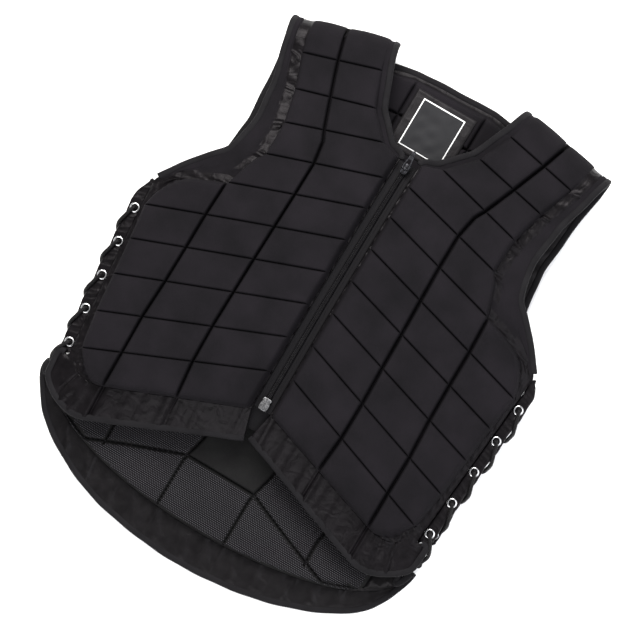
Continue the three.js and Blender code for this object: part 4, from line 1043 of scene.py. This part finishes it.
# How far past the lacing's top a strip reaches, how long its taper is there and how much wider it is before it.
strips = {"front": {"reach": 9.5, "taper": 26, "wider": 1.5}, "back": {"reach": 0, "taper": 9, "wider": 0}}


def addStrip(face, side, hand, seed):
    # A folded strip: rounded along its outer edge, pinched round each eyelet, gathered between them.
    z0 = lacing["frontZ"] if face == "front" else lacing["backZ"]
    strip = strips[face]
    top, bottom = lacing[face + "Top"] * halfLength + strip["reach"], lacing["bottom"] * halfLength
    raised = stripRaise(side)
    y = np.linspace(top, bottom, 230)[:, None]
    across = np.concatenate([np.linspace(-1, -0.8, 4), np.linspace(-0.7, 0.7, 26), np.linspace(0.8, 1, 5)])[None, :]
    half = lacing["width"] / 2
    outer = (half + strip["wider"]) * (1 - 0.95 * smooth(top - strip["taper"], top + 2, y))
    x = stripMiddle(face, y) + np.where(across > 0, across * outer, across * half)
    x -= 2.0 * strip["wider"] * smooth(top - 20, top, y)
    nearEyelet = np.full(x.shape, 99.0)
    for height in eyeletHeights:
        nearEyelet = np.minimum(nearEyelet, np.hypot(x - stripMiddle(face, height), y - height))
    pinch = smooth(5.5, 11, nearEyelet)
    gather = puckers(y + 2 * across, across * 7, seed, (5.0, 8.0, 13.0))
    shape = shoulder((1 - np.abs(across)) * lacing["width"] / 2, 2.2)
    cut = 5.0 * across ** 2 * (smooth(bottom + 8, bottom, y) - smooth(top - 8, top, y))  # its ends are cut round
    thick = lacing["thickness"] * (0.72 + 0.28 * pinch + 0.3 * gather * pinch)
    sway = 0.9 * np.sin(y / 6.5 + seed) * (across > 0.5) * pinch
    middle = z0 + lacing["thickness"] / 2
    upper = np.stack([side * (x + sway), y + cut + raised, middle + thick / 2 * (0.15 + 0.85 * shape)], -1)
    lower = np.stack([side * (x + sway), y + cut + raised, middle - thick / 2 * (0.15 + 0.85 * shape)], -1)
    points, faces = closedGrid(upper, lower, None, side < 0)
    addPiece(f"eyelet_strip_{face}_{hand}", points, faces, [cloths["taffeta"]],
             [f"lacing_strip_{face}_{hand}"], uv=doubled(x, y))


eyelet = {"hole": 3.35, "barrel": 4.0, "flange": 6.0, "rim": 1.3, "steps": 32}


def addEyelet(face, side, hand, k, y):
    # A turned ring: down the barrel, flared at both ends, domed on its face.
    h, b, f, r, t = eyelet["hole"], eyelet["barrel"], eyelet["flange"], eyelet["rim"], lacing["thickness"]
    profile = np.array([(h + 0.5, -t - 0.35), (b + 0.9, -t - 0.35), (b + 0.2, -t + 0.3), (b, -1), (b, 0.1),
                        (f - 0.3, 0.05), (f, 0.25), (f - 0.15, 0.6), (f - 0.8, 1.05), (f - 1.6, r), (h + 0.5, r - 0.15),
                        (h + 0.1, r - 0.6), (h, 0), (h, -t + 0.4)])
    steps = eyelet["steps"]
    angle = np.linspace(0, 2 * math.pi, steps, endpoint=False)[:, None]
    z0 = lacing["frontZ"] + t if face == "front" else lacing["backZ"]
    flip = 1 if face == "front" else -1
    points = np.stack([profile[None, :, 0] * np.cos(angle) + side * float(stripMiddle(face, y)),
                       profile[None, :, 0] * np.sin(angle) + y + stripRaise(side),
                       flip * profile[None, :, 1] + z0 + 0 * angle], -1).reshape(-1, 3)
    count = len(profile)
    faces = [quads(steps + 1, count, closed=True) % (steps * count)]
    addPiece(f"pressed_eyelet_{face}_{hand}_{k}", points, outwards(points, faces), [cloths["silver"]],
             [f"eyelet_{face}_{hand}_{k}"])


for side, hand in hands:
    for number, face in enumerate(("front", "back")):
        addStrip(face, side, hand, 50 + 3 * number + side)
        for k, y in enumerate(eyeletHeights):
            addEyelet(face, side, hand, k + 1, y)
print("strips and eyelets ready")


# Zip

zipParts = {"top": 201.4, "bottom": -118.4, "tapeThickness": 1.2, "coilWidth": 6.0, "coilHeight": 2.2, "pitch": 2.0,
            "boxLength": 15.0, "boxWidth": 11.0, "boxHeight": 4.0, "guardWidth": 30.0, "guardDrop": 26.0,
            "guardFlat": 0.346}


def zipLining(y):  # the lower of the two halves' linings
    heights = []
    for side in (-1, 1):
        at = y + float(slantAt(side, zipEdge)) + frontRows["fall"][13] * zipEdge
        p = np.interp(-at / halfLength, [-a for a in frontRows["at"]], np.arange(len(frontRows["at"])))
        heights.append(liningHeight(p, 0.0))
    return np.minimum(*heights)


def ribbon(name, x0, x1, y0, y1, low, thickness, columns, rows, material, replaced, relief):
    # A straight band above the linings, from low to its thickness and relief.
    x = np.linspace(x0, x1, columns)[None, :] + np.zeros((rows, 1))
    y = np.linspace(y0, y1, rows)[:, None] + np.zeros((1, columns))
    base = zipLining(y) + low
    upper = np.stack([x, y, base + thickness + relief(x, y)], -1)
    lower = np.stack([x, y, base], -1)
    points, faces = closedGrid(upper, lower)
    return addPiece(name, points, faces, [material], replaced, uv=doubled(x, y))


def coilRelief(x, y):
    # Two rows of teeth that mesh at the middle: each a round loop, the rows half a pitch apart.
    pitch = zipParts["pitch"]
    shift = np.where(x > 0, 0.5, 0.0)
    loop = np.abs(np.sin(math.pi * (y / pitch + shift))) ** 0.6
    side = np.abs(x) / (zipParts["coilWidth"] / 2)
    rounded = np.sqrt(np.clip(1 - side ** 4, 0, 1))
    seam = 1 - 0.5 * np.exp(-(x / 0.35) ** 2)
    return (loop * seam - 1) * 0.9 + (rounded - 1) * 1.2


def addZip():
    tapeLow = vest["cover"] - zipParts["tapeThickness"] - vest["clearance"]
    edge = vest["zipTape"] / 2
    for side, hand in hands:
        x0, x1 = (-edge, -0.3) if side < 0 else (0.3, edge)
        tape = ribbon(f"woven_zip_tape_{hand}", x0, x1, zipParts["top"], zipParts["bottom"], tapeLow,
                      zipParts["tapeThickness"], 14, 330, cloths["zipTape"], [f"zip_tape_{hand}"],
                      lambda x, y: 0.25 * np.cos((np.abs(x) - 5.0) * 1.4) * (np.abs(x) > 4) - 0.1)
    half = zipParts["coilWidth"] / 2
    ribbon("nylon_zip_coil", -half, half, zipParts["top"] - 0.3, zipParts["bottom"] + zipParts["boxLength"],
           vest["cover"] + 0.3, zipParts["coilHeight"], 21, 1300, cloths["coil"], ["zip_coil"],
           coilRelief)
    half = zipParts["guardWidth"] / 2
    guard = ribbon("zip_guard_flap", -half, half, zipParts["top"], zipParts["bottom"] - zipParts["guardDrop"], -2.9,
                   2.0, 30, 240, cloths["zipTape"], ["zip_guard"],
                   lambda x, y: 0.35 * unevenness(x, y, 91, 12, 40) * smooth(15, 11, np.abs(x)) - 0.2)


def superBox(name, size, middle, powers, material, replaced, relief, body="vest"):
    # A rounded block: every point of a sphere pushed out to a superellipsoid of the wanted size.
    rows, columns = 34, 56
    u = np.linspace(-math.pi / 2 + 0.02, math.pi / 2 - 0.02, rows)[:, None]
    v = np.linspace(0, 2 * math.pi, columns, endpoint=False)[None, :]
    x = signedPower(np.cos(u), powers[0]) * signedPower(np.cos(v), powers[1]) * size[0] / 2
    y = signedPower(np.cos(u), powers[0]) * signedPower(np.sin(v), powers[1]) * size[1] / 2
    z = signedPower(np.sin(u), powers[0]) * size[2] / 2 + 0 * v
    x, y, z = relief(x, y, z)
    points = np.stack([x + middle[0], y + middle[1], z + middle[2]], -1).reshape(-1, 3)
    addPiece(name, points, outwards(points, tubeFaces(rows, columns)), [material], replaced, body=body)


addZip()


def boxRelief(x, y, z):  # a raised pin down the middle and a waist between box and pin
    ridge = 0.5 * np.exp(-(x / 1.6) ** 2) * (z > 0)
    waist = 1 - 0.12 * np.exp(-((y - 2.5) / 1.4) ** 2)
    return x * waist, y, z + ridge


boxTop = zipParts["bottom"] + zipParts["boxLength"]
superBox("zip_box_pressed", (zipParts["boxWidth"], zipParts["boxLength"], zipParts["boxHeight"]),
         (0, zipParts["bottom"] + 7.5, float(zipLining(boxTop)) + vest["cover"] + 2.0), (0.25, 0.35),
         cloths["boxMetal"], ["zip_box"], boxRelief)

slider = {"y": 188.4, "length": 13.0, "width": 11.0, "height": 3.0, "z": 76.5, "lug": 2.4, "lugRadius": 1.75}
# The pull's y and z are those of the pin that it turns on.
pull = {"length": 23.0, "width": 9.0, "thick": 1.6, "y": 194.9, "z": 80.45, "pinRadius": 0.85}


def sliderRelief(x, y, z):  # narrow below and wide above, with a shallow channel beside the lug
    along = y / (slider["length"] / 2)
    waist = 0.83 + 0.17 * along
    channel = 0.45 * np.exp(-((np.abs(x) - 3.0) / 0.9) ** 2) * (z > 0)
    return x * waist, y, z - channel


def addBar(name, path, outward, upward, profile, replaced, body="vest"):  # out and up: one direction, or one a point
    points, faces = sweep(path, outward + 0 * path, upward + 0 * path, profile)
    addPiece(name, points, outwards(points, faces), [cloths["gunmetal"]], replaced, body=body)


def addSlider():
    middle = (0, slider["y"] + slider["length"] / 2, slider["z"] + slider["height"] / 2)
    superBox("zip_slider_cast", (slider["width"], slider["length"], slider["height"]), middle, (0.3, 0.45),
             cloths["gunmetal"], ["zip_slider"], sliderRelief)
    # The lug: an arch along the slider that the pull's pin goes through, swept as a rounded bar.
    angle = np.linspace(-0.25, math.pi + 0.25, 40)
    radius = slider["lugRadius"]
    path = np.stack([0 * angle, pull["y"] + radius * np.cos(angle), pull["z"] + radius * np.sin(angle)], -1)
    path[0, 2] = path[-1, 2] = slider["z"] + slider["height"] - 0.4
    outward = np.array([1.0, 0.0, 0.0])
    upward = unit(np.cross(unit(np.gradient(path, axis=0)), outward))
    addBar("zip_slider_lug", path, outward, upward, roundProfile(slider["lug"] / 2, 0.4, 3.0, 16), [])


def addPull():
    # Two legs astride the lug that meet in a narrow tip: one outline of a bent bar, and a pin across its legs.
    half = pull["width"] / 2
    left = [(-half + 0.9, -0.4), (-half + 1.2, 5.0), (-2.1, 14.0), (-1.1, 20.5), (0.0, pull["length"] - 1.2)]
    outline = np.array(left + [(-x, y) for x, y in left[-2::-1]])
    flat = resampled(np.concatenate([outline, 0 * outline[:, :1]], 1), 0.5, 4)
    path = np.stack([flat[:, 0], pull["y"] + flat[:, 1], pull["z"] + 0 * flat[:, 0]], -1)
    upward = np.array([0.0, 0.0, 1.0])
    outward = unit(np.cross(unit(np.gradient(path, axis=0)), upward))
    addBar("zip_pull_bar", path, outward, upward, roundProfile(1.0, pull["thick"] / 2, 2.6, 20), ["zip_pull"],
           "zip_pull")
    superBox("zip_pull_tab", (4.0, 9.5, pull["thick"]), (0, pull["y"] + 16.0, pull["z"]), (0.3, 0.5),
             cloths["gunmetal"], [], lambda x, y, z: (x * (1 - 0.07 * y), y, z), "zip_pull")
    across = np.linspace(-half + 0.9, half - 0.9, 12)
    pinPath = np.stack([across, pull["y"] + 0 * across, pull["z"] + 0 * across], -1)
    addBar("zip_pull_pin", pinPath, np.array([0.0, 1.0, 0.0]), upward,
           roundProfile(pull["pinRadius"], pull["pinRadius"], 2.0, 20), [], "zip_pull")


addSlider()
addPull()
print("zip ready")
